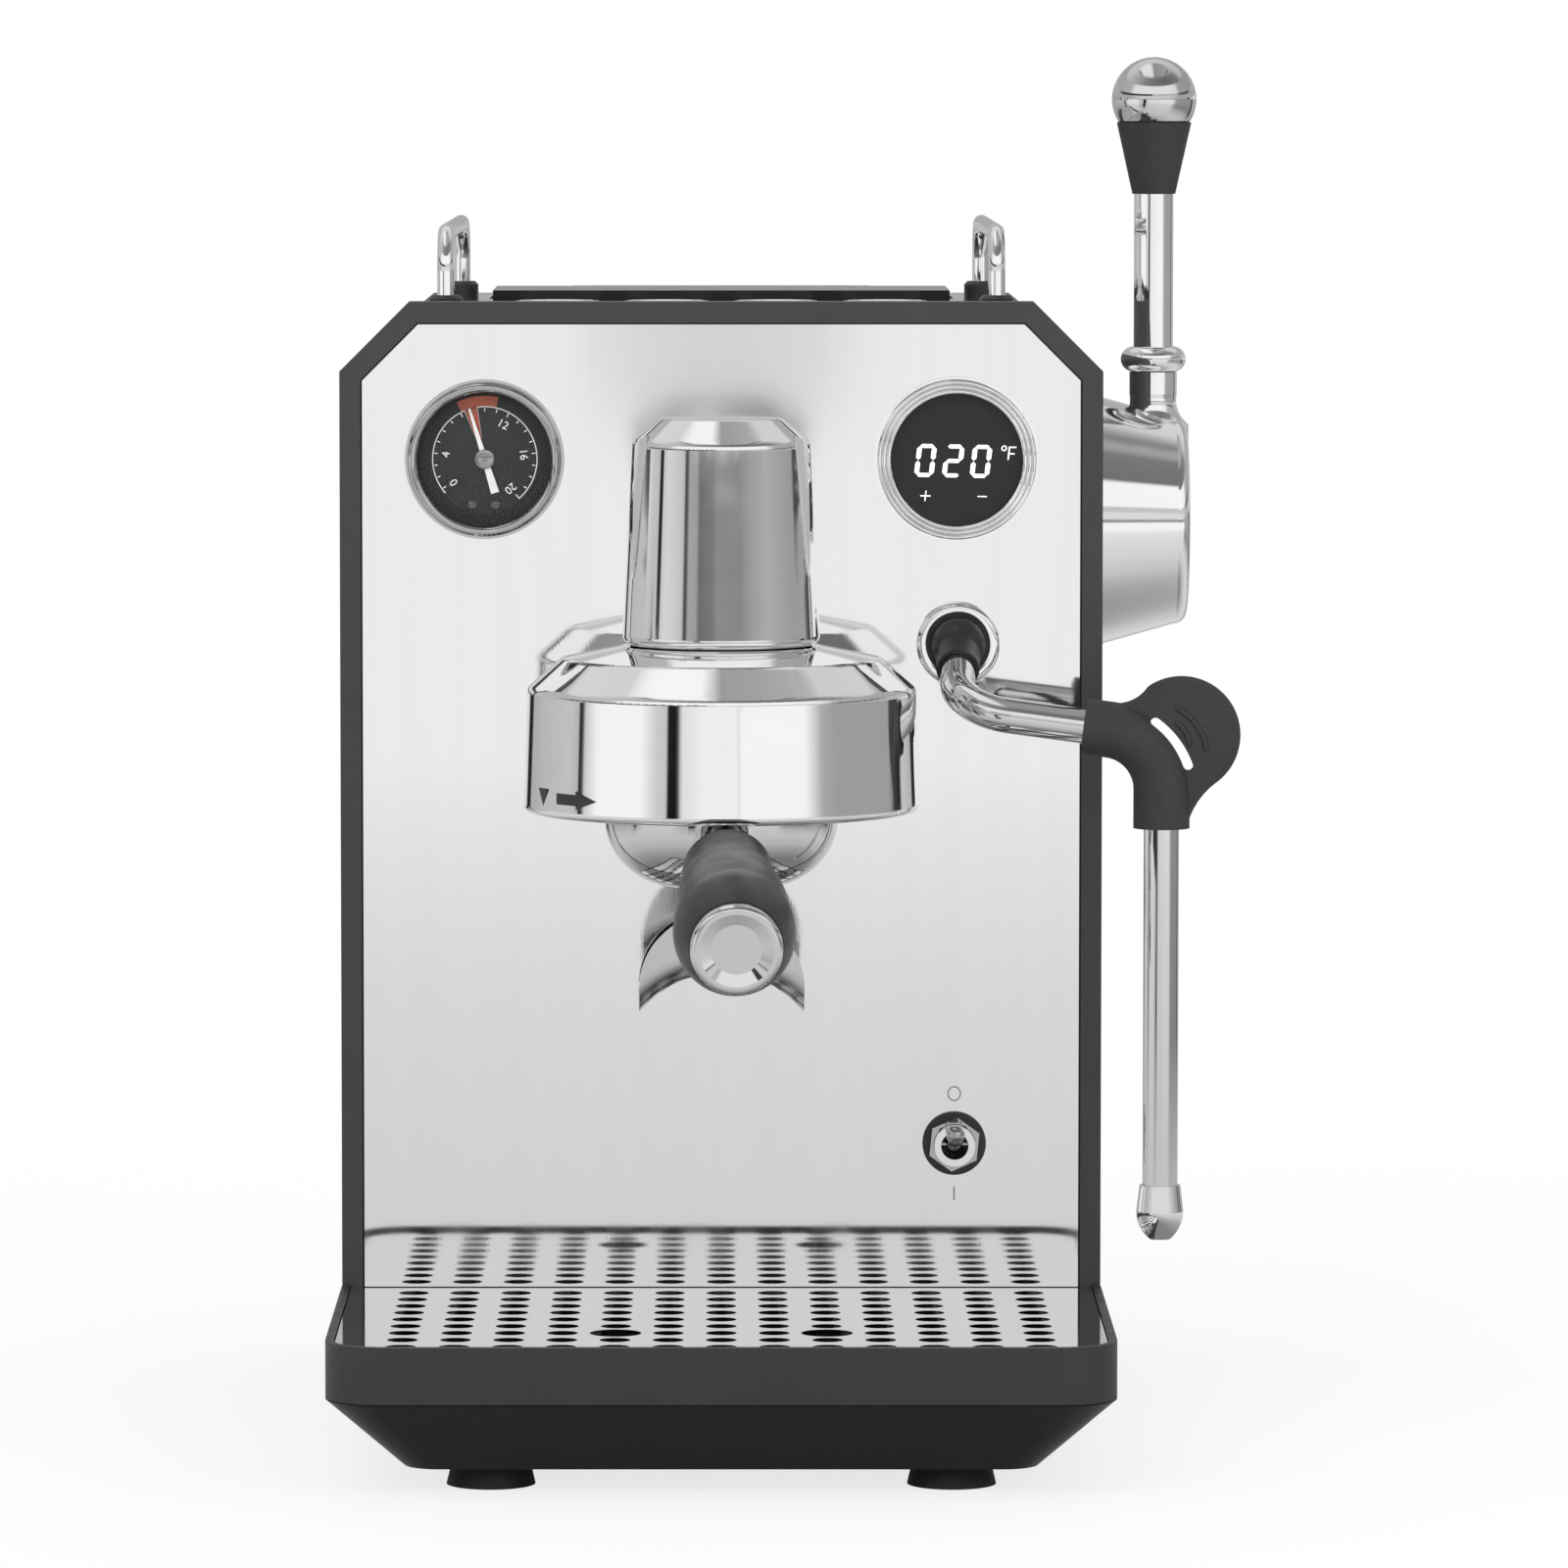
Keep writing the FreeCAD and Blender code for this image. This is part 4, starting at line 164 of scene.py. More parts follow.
# finishes of single nodes, in place of their slot's
panelHaze = {"centre": spot(0, 0, 314).tolist(), "inner": 0.0, "outer": 0.07, "added": 0.2}
nodeLooks = {
    "platedBrass": (("bayonet_ring", "group_head"),
                    {"base": (0.5, 0.49, 0.46), "tint": 0.08, "rough": (0.3, 0.42), "sockets": metal}),
    "mirrorPanel": (("front_panel",), {**finishes["polished_steel"], "haze": panelHaze}),
    "castChrome": (("portafilter_spout",),
                   {"base": (0.6, 0.6, 0.605), "tint": 0.03, "rough": (0.07, 0.13), "roughGrain": 160,
                    "sockets": metal}),
    "dimChrome": (("lever_knob", "handle_end_cap", "portafilter_bowl", "steam_tube"),
                  {**finishes["chrome"], "base": (0.72, 0.72, 0.725)}),
    "deepChrome": (("gauge_bezel", "toggle_nut", "toggle_bat"), {**finishes["chrome"], "base": (0.5, 0.5, 0.505)}),
    "trayEnamel": (("drip_tray",), {**finishes["black_enamel"], "base": (0.025, 0.0255, 0.026)}),
    # painted shade: the feet's rubber is made far darker than the other rubber, standing in for the deep shadow under
    # the machine
    "footRubberPaintedShade": (("feet",), {**finishes["rubber"], "base": (0.009, 0.009, 0.0092)}),
}
nodeFinish = {}
for name, (wearers, look) in nodeLooks.items():
    nodeFinish.update(dict.fromkeys(wearers, makeFinish(name, look)))
for entry in frame["record"]["subparts"]:
    slots = nodes[entry["node"]].data.materials
    slots.clear()
    slots.append(nodeFinish.get(entry["node"], slotFinish[entry["material_slot"]]))


# a mesh from arrays of corners and faces, standing at the origin
def addPiece(name, corners, faces, finish, body, smooth=False):
    mesh = bpy.data.meshes.new(name)
    mesh.from_pydata(np.asarray(corners).reshape(-1, 3).tolist(), [], [list(map(int, face)) for face in faces])
    mesh.validate()
    mesh.shade_smooth() if smooth else mesh.shade_flat()
    mesh.materials.append(finish)
    piece = bpy.data.objects.new(name, mesh)
    bpy.context.scene.collection.objects.link(piece)
    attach(piece, body)
    return piece


# faces turned outward: the sum of corner triple products over each face's fan is six times the volume
def outward(corners, faces):
    corners = np.asarray(corners).reshape(-1, 3)
    fans = np.array([[face[0], face[step], face[step + 1]] for face in faces for step in range(1, len(face) - 1)])
    first, second, third = (corners[fans[:, column]] - corners[0] for column in range(3))
    volume = np.sum(first * np.cross(second, third))
    return corners, [face[::-1] for face in faces] if volume < 0 else faces


def joinParts(parts):
    corners, faces, start = [], [], 0
    for partCorners, partFaces in parts:
        partCorners, partFaces = outward(partCorners, partFaces)
        corners.append(partCorners)
        faces += [[start + index for index in face] for face in partFaces]
        start += len(partCorners)
    return np.concatenate(corners), faces


# evenly spaced angles once round
def fullTurn(steps):
    return np.linspace(0, 2 * math.pi, steps, endpoint=False)


# directions in the panel's plane, anticlockwise from the right
def spokes(angle):
    return np.stack([np.cos(angle), 0 * angle, np.sin(angle)], axis=1)


# faces of a grid that closes round its columns; a ring closes round its rows too, and else capped fills both end rows
def tubeFaces(rows, columns, ring=False, capped=True):
    row, column = np.meshgrid(np.arange(rows if ring else rows - 1), np.arange(columns), indexing="ij")
    nextRow, nextColumn = (row + 1) % rows, (column + 1) % columns
    faces = np.stack([row * columns + column, row * columns + nextColumn,
                      nextRow * columns + nextColumn, nextRow * columns + column], axis=-1).reshape(-1, 4).tolist()
    last = (rows - 1) * columns
    ends = [list(range(columns))[::-1], list(range(last, last + columns))]
    return faces + ends if capped and not ring else faces


# a closed slab along a path: at each step the corners are centre plus and minus the side vector,
# and the same again moved out by the thickness vector; a ring joins its last step to its first
def slab(centre, side, out, ring=False):
    section = np.stack([centre - side, centre + side, centre + side + out, centre - side + out], axis=1)
    return section, tubeFaces(*section.shape[:2], ring)


# a surface of revolution: each profile point, radius and height, is carried round the axis
def lathe(profile, steps, place, capped=True):
    turn = fullTurn(steps)
    radius, height = np.asarray(profile, float).T[:, :, None]
    grid = place(radius * np.cos(turn), radius * np.sin(turn), height + 0 * turn)
    return grid, tubeFaces(len(profile), steps, capped=capped)


# flat outlines raised into closed prisms
def prisms(outlines, place, high):
    parts = []
    for outline in outlines:
        x, y = np.asarray(outline, float).T
        parts.append((np.concatenate([place(x, y, 0), place(x, y, high)]), tubeFaces(2, len(x))))
    return joinParts(parts)


# words as a raised mesh with its middle at the origin
def lettering(words, height, depth):
    curve = bpy.data.curves.new("lettering", "FONT")
    curve.body = words
    curve.size = height
    curve.align_x, curve.align_y = "CENTER", "CENTER"
    curve.extrude = depth
    holder = bpy.data.objects.new("lettering", curve)
    bpy.context.scene.collection.objects.link(holder)
    bpy.context.view_layer.update()
    mesh = bpy.data.meshes.new_from_object(holder.evaluated_get(bpy.context.evaluated_depsgraph_get()))
    corners = np.zeros(len(mesh.vertices) * 3)
    mesh.vertices.foreach_get("co", corners)
    faces = [list(face.vertices) for face in mesh.polygons]
    bpy.data.objects.remove(holder)
    bpy.data.curves.remove(curve)
    bpy.data.meshes.remove(mesh)
    return corners.reshape(-1, 3), faces


# angles in degrees clockwise from the top; a tick is its inner and outer radius and half its angle
gauge = {"across": -68.2, "up": 282.7, "face": -2.2, "lift": 0.05, "thick": 0.02, "units": 20, "perUnit": 13.9,
         "arcRadius": 15.2, "arcWidth": 0.28, "arcLate": 8, "arcSteps": (60, 80), "tickSteps": 3, "majorEvery": 4,
         "majorTick": (13.6, 15.2, 0.55), "minorTick": (13.75, 14.65, 0.6),
         "numbers": (0, 4, 12, 16, 20), "numberSize": 3.3, "numberRadius": 11.2, "zeroTurn": 12,
         "red": (-22.8, -8.4), "redClear": (4, 6), "redTick": (6.2, 15.2, 0.4), "redSteps": 12,
         "label": (-26.5, 12.5), "labelOuter": 18.2, "labelSteps": 30,
         "border": (15.7, 19.7), "borderSink": 0.03, "borderSteps": 96}
printWhite = makeFinish("dialPrint", {"base": (0.86, 0.86, 0.85), "tint": 0.03, "rough": (0.45, 0.55),
                                      "tintGrain": 600})
printBlack = makeFinish("dialBorder", {"base": (0.003, 0.003, 0.003), "tint": 0.2, "rough": (0.6, 0.7),
                                       "tintGrain": 400, "sockets": {"Specular IOR Level": 0.08}})
printRed = makeFinish("dialRed", {"base": (0.42, 0.06, 0.008), "tint": 0.2, "rough": (0.45, 0.55), "tintGrain": 250})


# dial marks: every line is a slab between two radii, swept through an angle
def makeGaugeMarks():
    def place(x, y, out):
        return spot(gauge["across"] + x, gauge["face"] + gauge["lift"] + out, gauge["up"] + y)

    def sector(inner, outer, angle, ring=False):
        middle, half = (inner + outer) / 2, (outer - inner) / 2
        direction = np.stack([np.sin(angle), 0 * angle, np.cos(angle)], axis=1)
        centre = place(middle * np.sin(angle), middle * np.cos(angle), 0)
        return slab(centre, direction * half * mm, np.array([0, -gauge["thick"] * mm, 0]), ring)

    def between(start, end, steps):
        return np.radians(np.linspace(start, end, steps))

    def tick(angle, inner, outer, half):
        return sector(inner, outer, between(angle - half, angle + half, gauge["tickSteps"]))

    radius = gauge["arcRadius"]
    arcInner = radius - gauge["arcWidth"]
    full = gauge["perUnit"] * gauge["units"] / 2
    redFrom, redTo = gauge["red"]
    clearBefore, clearAfter = gauge["redClear"]
    leftSteps, rightSteps = gauge["arcSteps"]
    marks = [sector(arcInner, radius, between(gauge["arcLate"] - full, redFrom, leftSteps)),
             sector(arcInner, radius, between(redTo, full, rightSteps))]
    for unit in range(1, gauge["units"] + 1):
        angle = unit * gauge["perUnit"] - full
        if not redFrom - clearBefore < angle < redTo + clearAfter:
            major = unit % gauge["majorEvery"] == 0
            marks.append(tick(angle, *gauge["majorTick" if major else "minorTick"]))
    marks += [tick(angle, *gauge["redTick"]) for angle in gauge["red"]]
    for unit in gauge["numbers"]:
        letters, letterFaces = lettering(str(unit), gauge["numberSize"], gauge["thick"])
        x, y, out = letters.T
        reach = y + gauge["numberRadius"]
        angle = math.radians(unit * gauge["perUnit"] - full + (gauge["zeroTurn"] if unit == 0 else 0))
        across = x * math.cos(angle) + reach * math.sin(angle)
        up = reach * math.cos(angle) - x * math.sin(angle)
        marks.append((place(across, up, out), letterFaces))
    corners, faces = outward(*sector(*gauge["border"], fullTurn(gauge["borderSteps"]), True))
    corners = corners + np.array([0, gauge["borderSink"] * mm, 0])
    addPiece("gaugeBorder", corners, faces, printBlack, "machine")
    addPiece("gaugeScale", *joinParts(marks), printWhite, "machine")
    red = joinParts([sector(gauge["redTick"][0], arcInner, between(redFrom, redTo, gauge["redSteps"])),
                     sector(radius, gauge["labelOuter"], between(*gauge["label"], gauge["labelSteps"]))])
    addPiece("gaugeRedZone", *red, printRed, "machine")


# each dome is its low edge, radius and rise
domes = {"rings": 9, "sides": 28, "tip": 0.0004, "screwAcross": (-3.7, 3.1), "screwUp": -13.4, "screw": (0, 1.75, 1.0),
         "cap": (1.75, 2.85, 0.45), "pin": (2.0, 0.8, 0.5)}
darkChrome = makeFinish("darkChrome", {"base": (0.4, 0.4, 0.405), "tint": 0.1, "rough": (0.06, 0.12),
                                       "sockets": metal})
screwBlack = makeFinish("screwBlack", {"base": (0.13, 0.13, 0.132), "tint": 0.1, "rough": (0.05, 0.1),
                                       "sockets": metal})


# two dome screws low on the dial and the pointer's hub cap: a quarter of an ellipse turned round its axis
def makeGaugeDomes():
    def domeAt(x, y, low, radius, rise):
        bend = np.linspace(0, math.pi / 2, domes["rings"])
        profile = np.stack([radius * np.cos(bend), low + rise * np.sin(bend)], axis=1)
        profile[-1, 0] = domes["tip"]

        def place(u, v, out):
            return spot(gauge["across"] + x + u, gauge["face"] + out, gauge["up"] + y + v)

        return lathe(profile, domes["sides"], place)

    screws = joinParts([domeAt(across, domes["screwUp"], *domes["screw"]) for across in domes["screwAcross"]])
    addPiece("gaugeDialScrews", *screws, screwBlack, "machine", True)
    cap = joinParts([domeAt(0, 0, *domes["cap"]), domeAt(0, 0, *domes["pin"])])
    addPiece("gaugeHubCap", *cap, darkChrome, "needle", True)


makeGaugeMarks()
makeGaugeDomes()
print("gauge marked")

# sizes and places from the middle of the figures; letter is the outline of the unit's capital
display = {"across": 67.8, "up": 282.3, "face": 2.22, "thick": 0.04, "slant": 0.1, "tilt": -1.0,
           "figures": ("abcdef", "abdeg", "abcdef"), "firstDigit": -9.0, "digitPitch": 8.0, "digitHeight": 9.7,
           "digitWidth": 5.6, "stroke": 1.35, "gap": 0.12, "levelShare": 0.42, "uprightShare": 0.5,
           "letter": ((14.5, 0.6), (14.9, 0.6), (14.9, 2.15), (16.4, 2.15), (16.4, 2.52), (14.9, 2.52),
                      (14.9, 4.03), (16.7, 4.03), (16.7, 4.4), (14.5, 4.4)),
           "ringAt": (13.2, 3.9), "ringRadius": 0.65, "ringHalf": 0.16, "ringSteps": 28,
           "signHalf": 0.15, "plusArm": 1.5, "plusAt": (-7.8, -10.2), "minusArm": 1.35, "minusAt": (8.55, -10.1)}
lit = makeFinish("litSegments", {"base": (0.9, 0.9, 0.9), "tint": 0.02, "rough": (0.4, 0.5), "tintGrain": 400,
                                 "sockets": {"Emission Color": plainWhite, "Emission Strength": 0.75}})


# seven-segment figures: each segment is a bar with mitred ends, leaned by the slant and turned by the tilt
def makeDisplayFigures():
    turn = math.radians(display["tilt"])

    def place(x, y, out):
        leaned = x + display["slant"] * y
        across = leaned * math.cos(turn) - y * math.sin(turn)
        up = leaned * math.sin(turn) + y * math.cos(turn)
        return spot(display["across"] + across, display["face"] + out, display["up"] + up)

    stroke, gap = display["stroke"], display["gap"]
    edge, top = (display["digitWidth"] - stroke) / 2, (display["digitHeight"] - stroke) / 2
    flat, long = edge - gap, top - gap

    def level(x, y):
        half = stroke * display["levelShare"]
        return [(x - flat, y), (x - flat + half, y - half), (x + flat - half, y - half), (x + flat, y),
                (x + flat - half, y + half), (x - flat + half, y + half)]

    def upright(x, low, high):
        half = stroke * display["uprightShare"]
        return [(x, low), (x + half, low + half), (x + half, high - half), (x, high),
                (x - half, high - half), (x - half, low + half)]

    segments = {"a": lambda x: level(x, top), "d": lambda x: level(x, -top), "g": lambda x: level(x, 0),
                "b": lambda x: upright(x + edge, gap, long), "c": lambda x: upright(x + edge, -long, -gap),
                "e": lambda x: upright(x - edge, -long, -gap), "f": lambda x: upright(x - edge, gap, long)}
    outlines = []
    for index, shown in enumerate(display["figures"]):
        centre = display["firstDigit"] + index * display["digitPitch"]
        outlines += [segments[key](centre) for key in shown]

    thin, arm, short = display["signHalf"], display["plusArm"], display["minusArm"]
    plus = ((-thin, -arm), (thin, -arm), (thin, -thin), (arm, -thin), (arm, thin), (thin, thin),
            (thin, arm), (-thin, arm), (-thin, thin), (-arm, thin), (-arm, -thin), (-thin, -thin))
    minus = ((-short, -thin), (short, -thin), (short, thin), (-short, thin))
    outlines += [display["letter"], np.add(minus, display["minusAt"]), np.add(plus, display["plusAt"])]
    angle = fullTurn(display["ringSteps"])
    ringX, ringY = display["ringAt"]
    centre = place(ringX + display["ringRadius"] * np.cos(angle), ringY + display["ringRadius"] * np.sin(angle), 0)
    ring = slab(centre, spokes(angle) * display["ringHalf"] * mm, np.array([0, -display["thick"] * mm, 0]), True)
    figures = joinParts([prisms(outlines, place, display["thick"]), ring])
    addPiece("displayFigures", *figures, lit, "machine")


makeDisplayFigures()
print("display lit")

switch = {"across": 67.5, "lift": 0.01, "thick": 0.03,
          "ringUp": 98.8, "ringWide": 1.8, "ringTall": 2.0, "ringHalf": 0.2, "ringSteps": 48,
          "barUp": 69.7, "barTall": 2.0, "barHalf": 0.24, "barSteps": 5}
printGrey = makeFinish("panelPrint", {"base": (0.27, 0.27, 0.275), "rough": (0.4, 0.5), "tintGrain": 500})


# switch marks on the panel: an oval ring above and an upright bar below
def makeSwitchMarks():
    out = np.array([0, -switch["thick"] * mm, 0])
    angle = fullTurn(switch["ringSteps"])
    ringPath = spot(switch["across"] + switch["ringWide"] * np.cos(angle), switch["lift"],
                    switch["ringUp"] + switch["ringTall"] * np.sin(angle))
    ring = slab(ringPath, spokes(angle) * switch["ringHalf"] * mm, out, True)
    height = np.linspace(-switch["barTall"], switch["barTall"], switch["barSteps"])
    barPath = spot(switch["across"], switch["lift"], switch["barUp"] + height)
    bar = slab(barPath, spokes(0 * height) * switch["barHalf"] * mm, out)
    addPiece("switchMarks", *joinParts([ring, bar]), printGrey, "machine")


# angles round the cover in degrees from its front
lock = {"ahead": 70, "radius": 55.7, "up": 192.9, "lift": 0.03, "top": 0.08, "tipHalf": 0.02,
        "triangleAt": -62.8, "triangleLift": 0.04, "triangleThick": 0.08, "triangleHalf": 2.7, "triangleTall": 2.4,
        "triangleSteps": 10, "arrowFrom": -55.2, "neckAt": -46.4, "arrowTo": -38.4, "barHalf": 1.55, "headHalf": 2.6,
        "arrowSteps": 12}


# lock marks wrapped on the cover: a bar that ends in a point, and a triangle that points down
def makeLockMarks():
    def wrap(angle, up, lift):
        angle = np.radians(angle)
        reach = lock["radius"] + lift
        return spot(reach * np.sin(angle), lock["ahead"] + reach * np.cos(angle), up)

    def stretch(start, end, startHalf, endHalf):
        angle = np.linspace(start, end, lock["arrowSteps"])
        half = np.linspace(startHalf, endHalf, lock["arrowSteps"])
        centre = wrap(angle, lock["up"], lock["lift"])
        return slab(centre, np.array([[0, 0, mm]]) * half[:, None], wrap(angle, lock["up"], lock["top"]) - centre)

    up = np.linspace(lock["triangleTall"], -lock["triangleTall"], lock["triangleSteps"])
    half = np.linspace(lock["triangleHalf"], lock["tipHalf"], lock["triangleSteps"])
    middle = wrap(lock["triangleAt"] + 0 * up, lock["up"] + up, lock["triangleLift"])
    turn = math.radians(lock["triangleAt"])
    along = np.array([[math.cos(turn), math.sin(turn), 0]]) * mm
    out = np.array([[math.sin(turn), -math.cos(turn), 0]]) * lock["triangleThick"] * mm
    triangle = slab(middle, along * half[:, None], out)
    arrow = [stretch(lock["arrowFrom"], lock["neckAt"], lock["barHalf"], lock["barHalf"]),
             stretch(lock["neckAt"], lock["arrowTo"], lock["headHalf"], lock["tipHalf"])]
    marks = joinParts([triangle, *arrow])
    addPiece("lockMarks", *marks, slotFinish["black_plastic"], "machine")


# lean is the fin's direction across and ahead, and elbow a point of its middle plane
grip = {"elbow": (125, 46), "lean": (0.9976, 0.0688), "face": 2.7, "radius": 0.75, "rings": 33, "sides": 14,
        "endPower": 10, "endShare": 0.0004,
        "ridges": (((128.6, 214.6), (134.4, 210.1), (137.0, 205.4), (137.5, 201.9)),
                   ((128.7, 210.2), (131.3, 208.2), (132.6, 205.4), (133.3, 203.3)))}


# two raised ridges on the finger fin: a round profile along a cubic through four points, narrowing at both ends
def makeGripRidges():
    leanAcross, leanAhead = grip["lean"]
    elbowAcross, elbowAhead = grip["elbow"]
    out = np.array([-leanAhead, -leanAcross, 0])
    share = np.linspace(0, 1, grip["rings"])
    fall = np.maximum(1 - np.abs(2 * share - 1) ** grip["endPower"], grip["endShare"])
    radius = grip["radius"] * mm * np.sqrt(fall)[:, None, None]
    turn = fullTurn(grip["sides"])[None, :, None]
    parts = []
    for points in grip["ridges"]:
        knots = np.linspace(0, 1, len(points))
        across, up = (np.polyval(np.polyfit(knots, values, len(points) - 1), share) for values in zip(*points))
        path = spot(across, elbowAhead + (across - elbowAcross) * leanAhead, up) + out * grip["face"] * mm
        tangent = np.gradient(path, axis=0)
        tangent /= np.linalg.norm(tangent, axis=1)[:, None]
        sideways = np.cross(tangent, out)[:, None]
        rings = path[:, None] + radius * (np.cos(turn) * sideways + np.sin(turn) * out)
        parts.append((rings, tubeFaces(grip["rings"], grip["sides"])))
    addPiece("gripRidges", *joinParts(parts), slotFinish["rubber"], "wand", True)


makeGripRidges()
makeSwitchMarks()
makeLockMarks()
print("printed marks placed")

view = {"distance": 2600, "height": 398, "pitch": 4.6, "lens": 207.2, "sensor": 36, "shiftX": 0.04, "reach": 50}


# camera on the middle line, pitched down a little, with a long lens
def makeCamera():
    data = bpy.data.cameras.new("camera")
    data.sensor_width = view["sensor"]
    data.lens = view["lens"]
    data.shift_x = view["shiftX"]
    data.clip_end = view["reach"]
    camera = bpy.data.objects.new("camera", data)
    camera.location = spot(0, view["distance"], view["height"]).tolist()
    camera.rotation_euler = (math.radians(90 - view["pitch"]), 0, 0)
    bpy.context.scene.collection.objects.link(camera)
    bpy.context.scene.camera = camera


# a ramp of grey levels, each at its own position
def greyRamp(add, link, stops, source):
    node = add("ShaderNodeValToRGB")
    while len(node.color_ramp.elements) < len(stops):
        node.color_ramp.elements.new(0.5)
    for element, (position, level) in zip(node.color_ramp.elements, stops):
        element.position = position
        element.color = (level, level, level, 1)
    link(source, node.inputs["Fac"])
    return node.outputs["Color"]


mixSockets = {"first": 6, "second": 7, "result": 2}  # places of the colour sockets in a Mix node


def mixColour(add, link, share, first, second, blend="MIX"):
    node = add("ShaderNodeMix", data_type="RGBA", blend_type=blend)
    link(share, node.inputs["Factor"])
    link(first, node.inputs[mixSockets["first"]])
    link(second, node.inputs[mixSockets["second"]])
    return node.outputs[mixSockets["result"]]


def mixShader(add, link, share, first, second):
    node = add("ShaderNodeMixShader")
    link(share, node.inputs["Fac"])
    link(first, node.inputs[1])
    link(second, node.inputs[2])
    return node.outputs["Shader"]


# one shader for the camera, one for mirrors and clear pieces, and one that lights the object
def byRay(add, link, camera, mirror, light):
    path = add("ShaderNodeLightPath")
    bright = add("ShaderNodeMath", operation="MAXIMUM")
    link(path.outputs["Is Glossy Ray"], bright.inputs[0])
    link(path.outputs["Is Transmission Ray"], bright.inputs[1])
    plain = mixShader(add, link, path.outputs["Is Camera Ray"], light, camera)
    return mixShader(add, link, bright.outputs["Value"], plain, mirror)


# the direction round the upright axis, 0 to 1 from behind through left, front and right
def azimuthShare(add, link, vector):
    split = add("ShaderNodeSeparateXYZ")
    link(vector, split.inputs["Vector"])
    forward = add("ShaderNodeMath", {1: -1}, operation="MULTIPLY")
    link(split.outputs["Y"], forward.inputs[0])
    azimuth = add("ShaderNodeMath", operation="ARCTAN2")
    link(split.outputs["X"], azimuth.inputs[0])
    link(forward.outputs["Value"], azimuth.inputs[1])
    return split, mapRange(add, link, azimuth.outputs["Value"], (-math.pi, math.pi))


# studio round the object: azimuth in degrees from the front towards the right, with its brightness
studio = {
    "low": ((-180, 0.5), (-141, 0.45), (-128, 0.52), (-100, 0.58), (-92.5, 0.5), (-91.5, 0.03), (-89, 0.03),
            (-87, 0.62), (-78, 0.96), (-74, 1.0), (-48, 1.0), (-38, 0.66), (-32, 0.6), (-31, 0.01), (-25.5, 0.01),
            (-23, 0.8), (-10, 0.95), (8.5, 0.95), (10, 0.82), (12, 1.0), (50, 1.0), (61, 0.44), (70, 0.37), (115, 0.36),
            (122, 0.08), (127, 0.08), (131, 0.6), (150, 0.42), (180, 0.5)),
    "middle": ((-180, 0.4), (-112, 0.46), (-109, 0.08), (-104, 0.06), (-102, 0.75), (-96, 0.6), (-84.5, 0.55),
               (-83.5, 0.02), (-78.5, 0.02), (-77.5, 0.62), (-70, 0.72), (-50, 0.6), (-47, 0.5), (-45.5, 0.06),
               (-42.5, 0.1), (-40, 0.4), (-30, 0.36), (-27, 0.16), (-10, 0.2), (-6, 0.27), (22, 0.26), (36, 0.36),
               (58, 0.45), (75, 0.4), (100, 0.34), (104, 0.06), (109, 0.08), (112, 0.5), (140, 0.9), (160, 0.5),
               (180, 0.4)),
    "glow": ((-180, 0.5), (-70, 0.5), (-40, 0.76), (40, 0.76), (70, 0.5), (180, 0.5)),
    "line": ((-180, 0.6), (-118, 0.5), (-100, 0.05), (-10, 0.06), (-5, 0.6), (62, 0.6), (75, 0.12), (105, 0.12),
             (120, 0.5), (180, 0.6)),
    "upper": ((-180, 0.45), (-110, 0.5), (-75, 0.55), (-62, 0.95), (-40, 1.0), (40, 1.0), (62, 0.9), (75, 0.45),
              (110, 0.4), (180, 0.45)),
    "dusk": ((-180, 0.75), (-120, 0.7), (-75, 0.5), (-30, 0.28), (10, 0.2), (40, 0.18), (90, 0.25), (120, 0.65),
             (180, 0.75)),
}
# the top of the studio, from far left at 0 to far right at 1
overhead = ((0.0, 0.9), (0.24, 0.9), (0.265, 0.15), (0.283, 0.2), (0.298, 1.0), (0.45, 1.0), (0.5, 0.36), (0.6, 0.4),
            (0.68, 0.45), (0.71, 0.2), (0.74, 0.8), (1.0, 0.6))
# each layer takes over from the one below it between two heights of the direction
layers = {"middle": (0.0, 0.012), "glow": (0.05, 0.06), "line": (0.155, 0.175), "upper": (0.23, 0.26),
          "dusk": (0.56, 0.62), "overhead": (0.84, 0.93)}
softLight = 0.8


def bandStops(key):
    return [((angle + 180) / 360, level) for angle, level in studio[key]]


def makeStudio():
    world = bpy.data.worlds.new("studio")
    bpy.context.scene.world = world
    world.use_nodes = True
    add, link = nodeGraph(world.node_tree)
    output = add("ShaderNodeOutputWorld")
    coordinates = add("ShaderNodeTexCoord")
    split, around = azimuthShare(add, link, coordinates.outputs["Generated"])
    bands = {key: greyRamp(add, link, bandStops(key), around) for key in studio}
    bands["overhead"] = greyRamp(add, link, overhead, mapRange(add, link, split.outputs["X"], (-1, 1)))
    sky = bands["low"]
    for key, span in layers.items():
        share = mapRange(add, link, split.outputs["Z"], span, curve="SMOOTHSTEP")
        sky = mixColour(add, link, share, sky, bands[key])
    white = add("ShaderNodeBackground", {"Color": plainWhite})
    soft = add("ShaderNodeBackground", {"Color": plainWhite, "Strength": softLight})
    mirrored = add("ShaderNodeBackground")
    link(sky, mirrored.inputs["Color"])
    surface = byRay(add, link, white.outputs["Background"], mirrored.outputs["Background"], soft.outputs["Background"])
    link(surface, output.inputs["Surface"])


# spans are shares of the radius: mirrored is what mirrors see, a grey ramp whose darkening close to the feet is painted
# shadow, banded where the studio's low band comes in, shadow where the matt floor fades out, and kept how white the
# camera sees it there
ground = {"radius": 2.4, "hole": 0.0005, "firstRing": 0.1, "rings": 24, "sides": 96, "sink": 0.0002, "grey": 0.86,
          "mirrored": ((0.0, 0.2), (0.07, 0.25), (0.13, 0.6), (0.2, 0.72), (0.65, 0.86), (1.0, 0.97)),
          "banded": (0.2, 0.5), "shadow": (0.1, 0.55), "kept": (0.78, 1.0)}
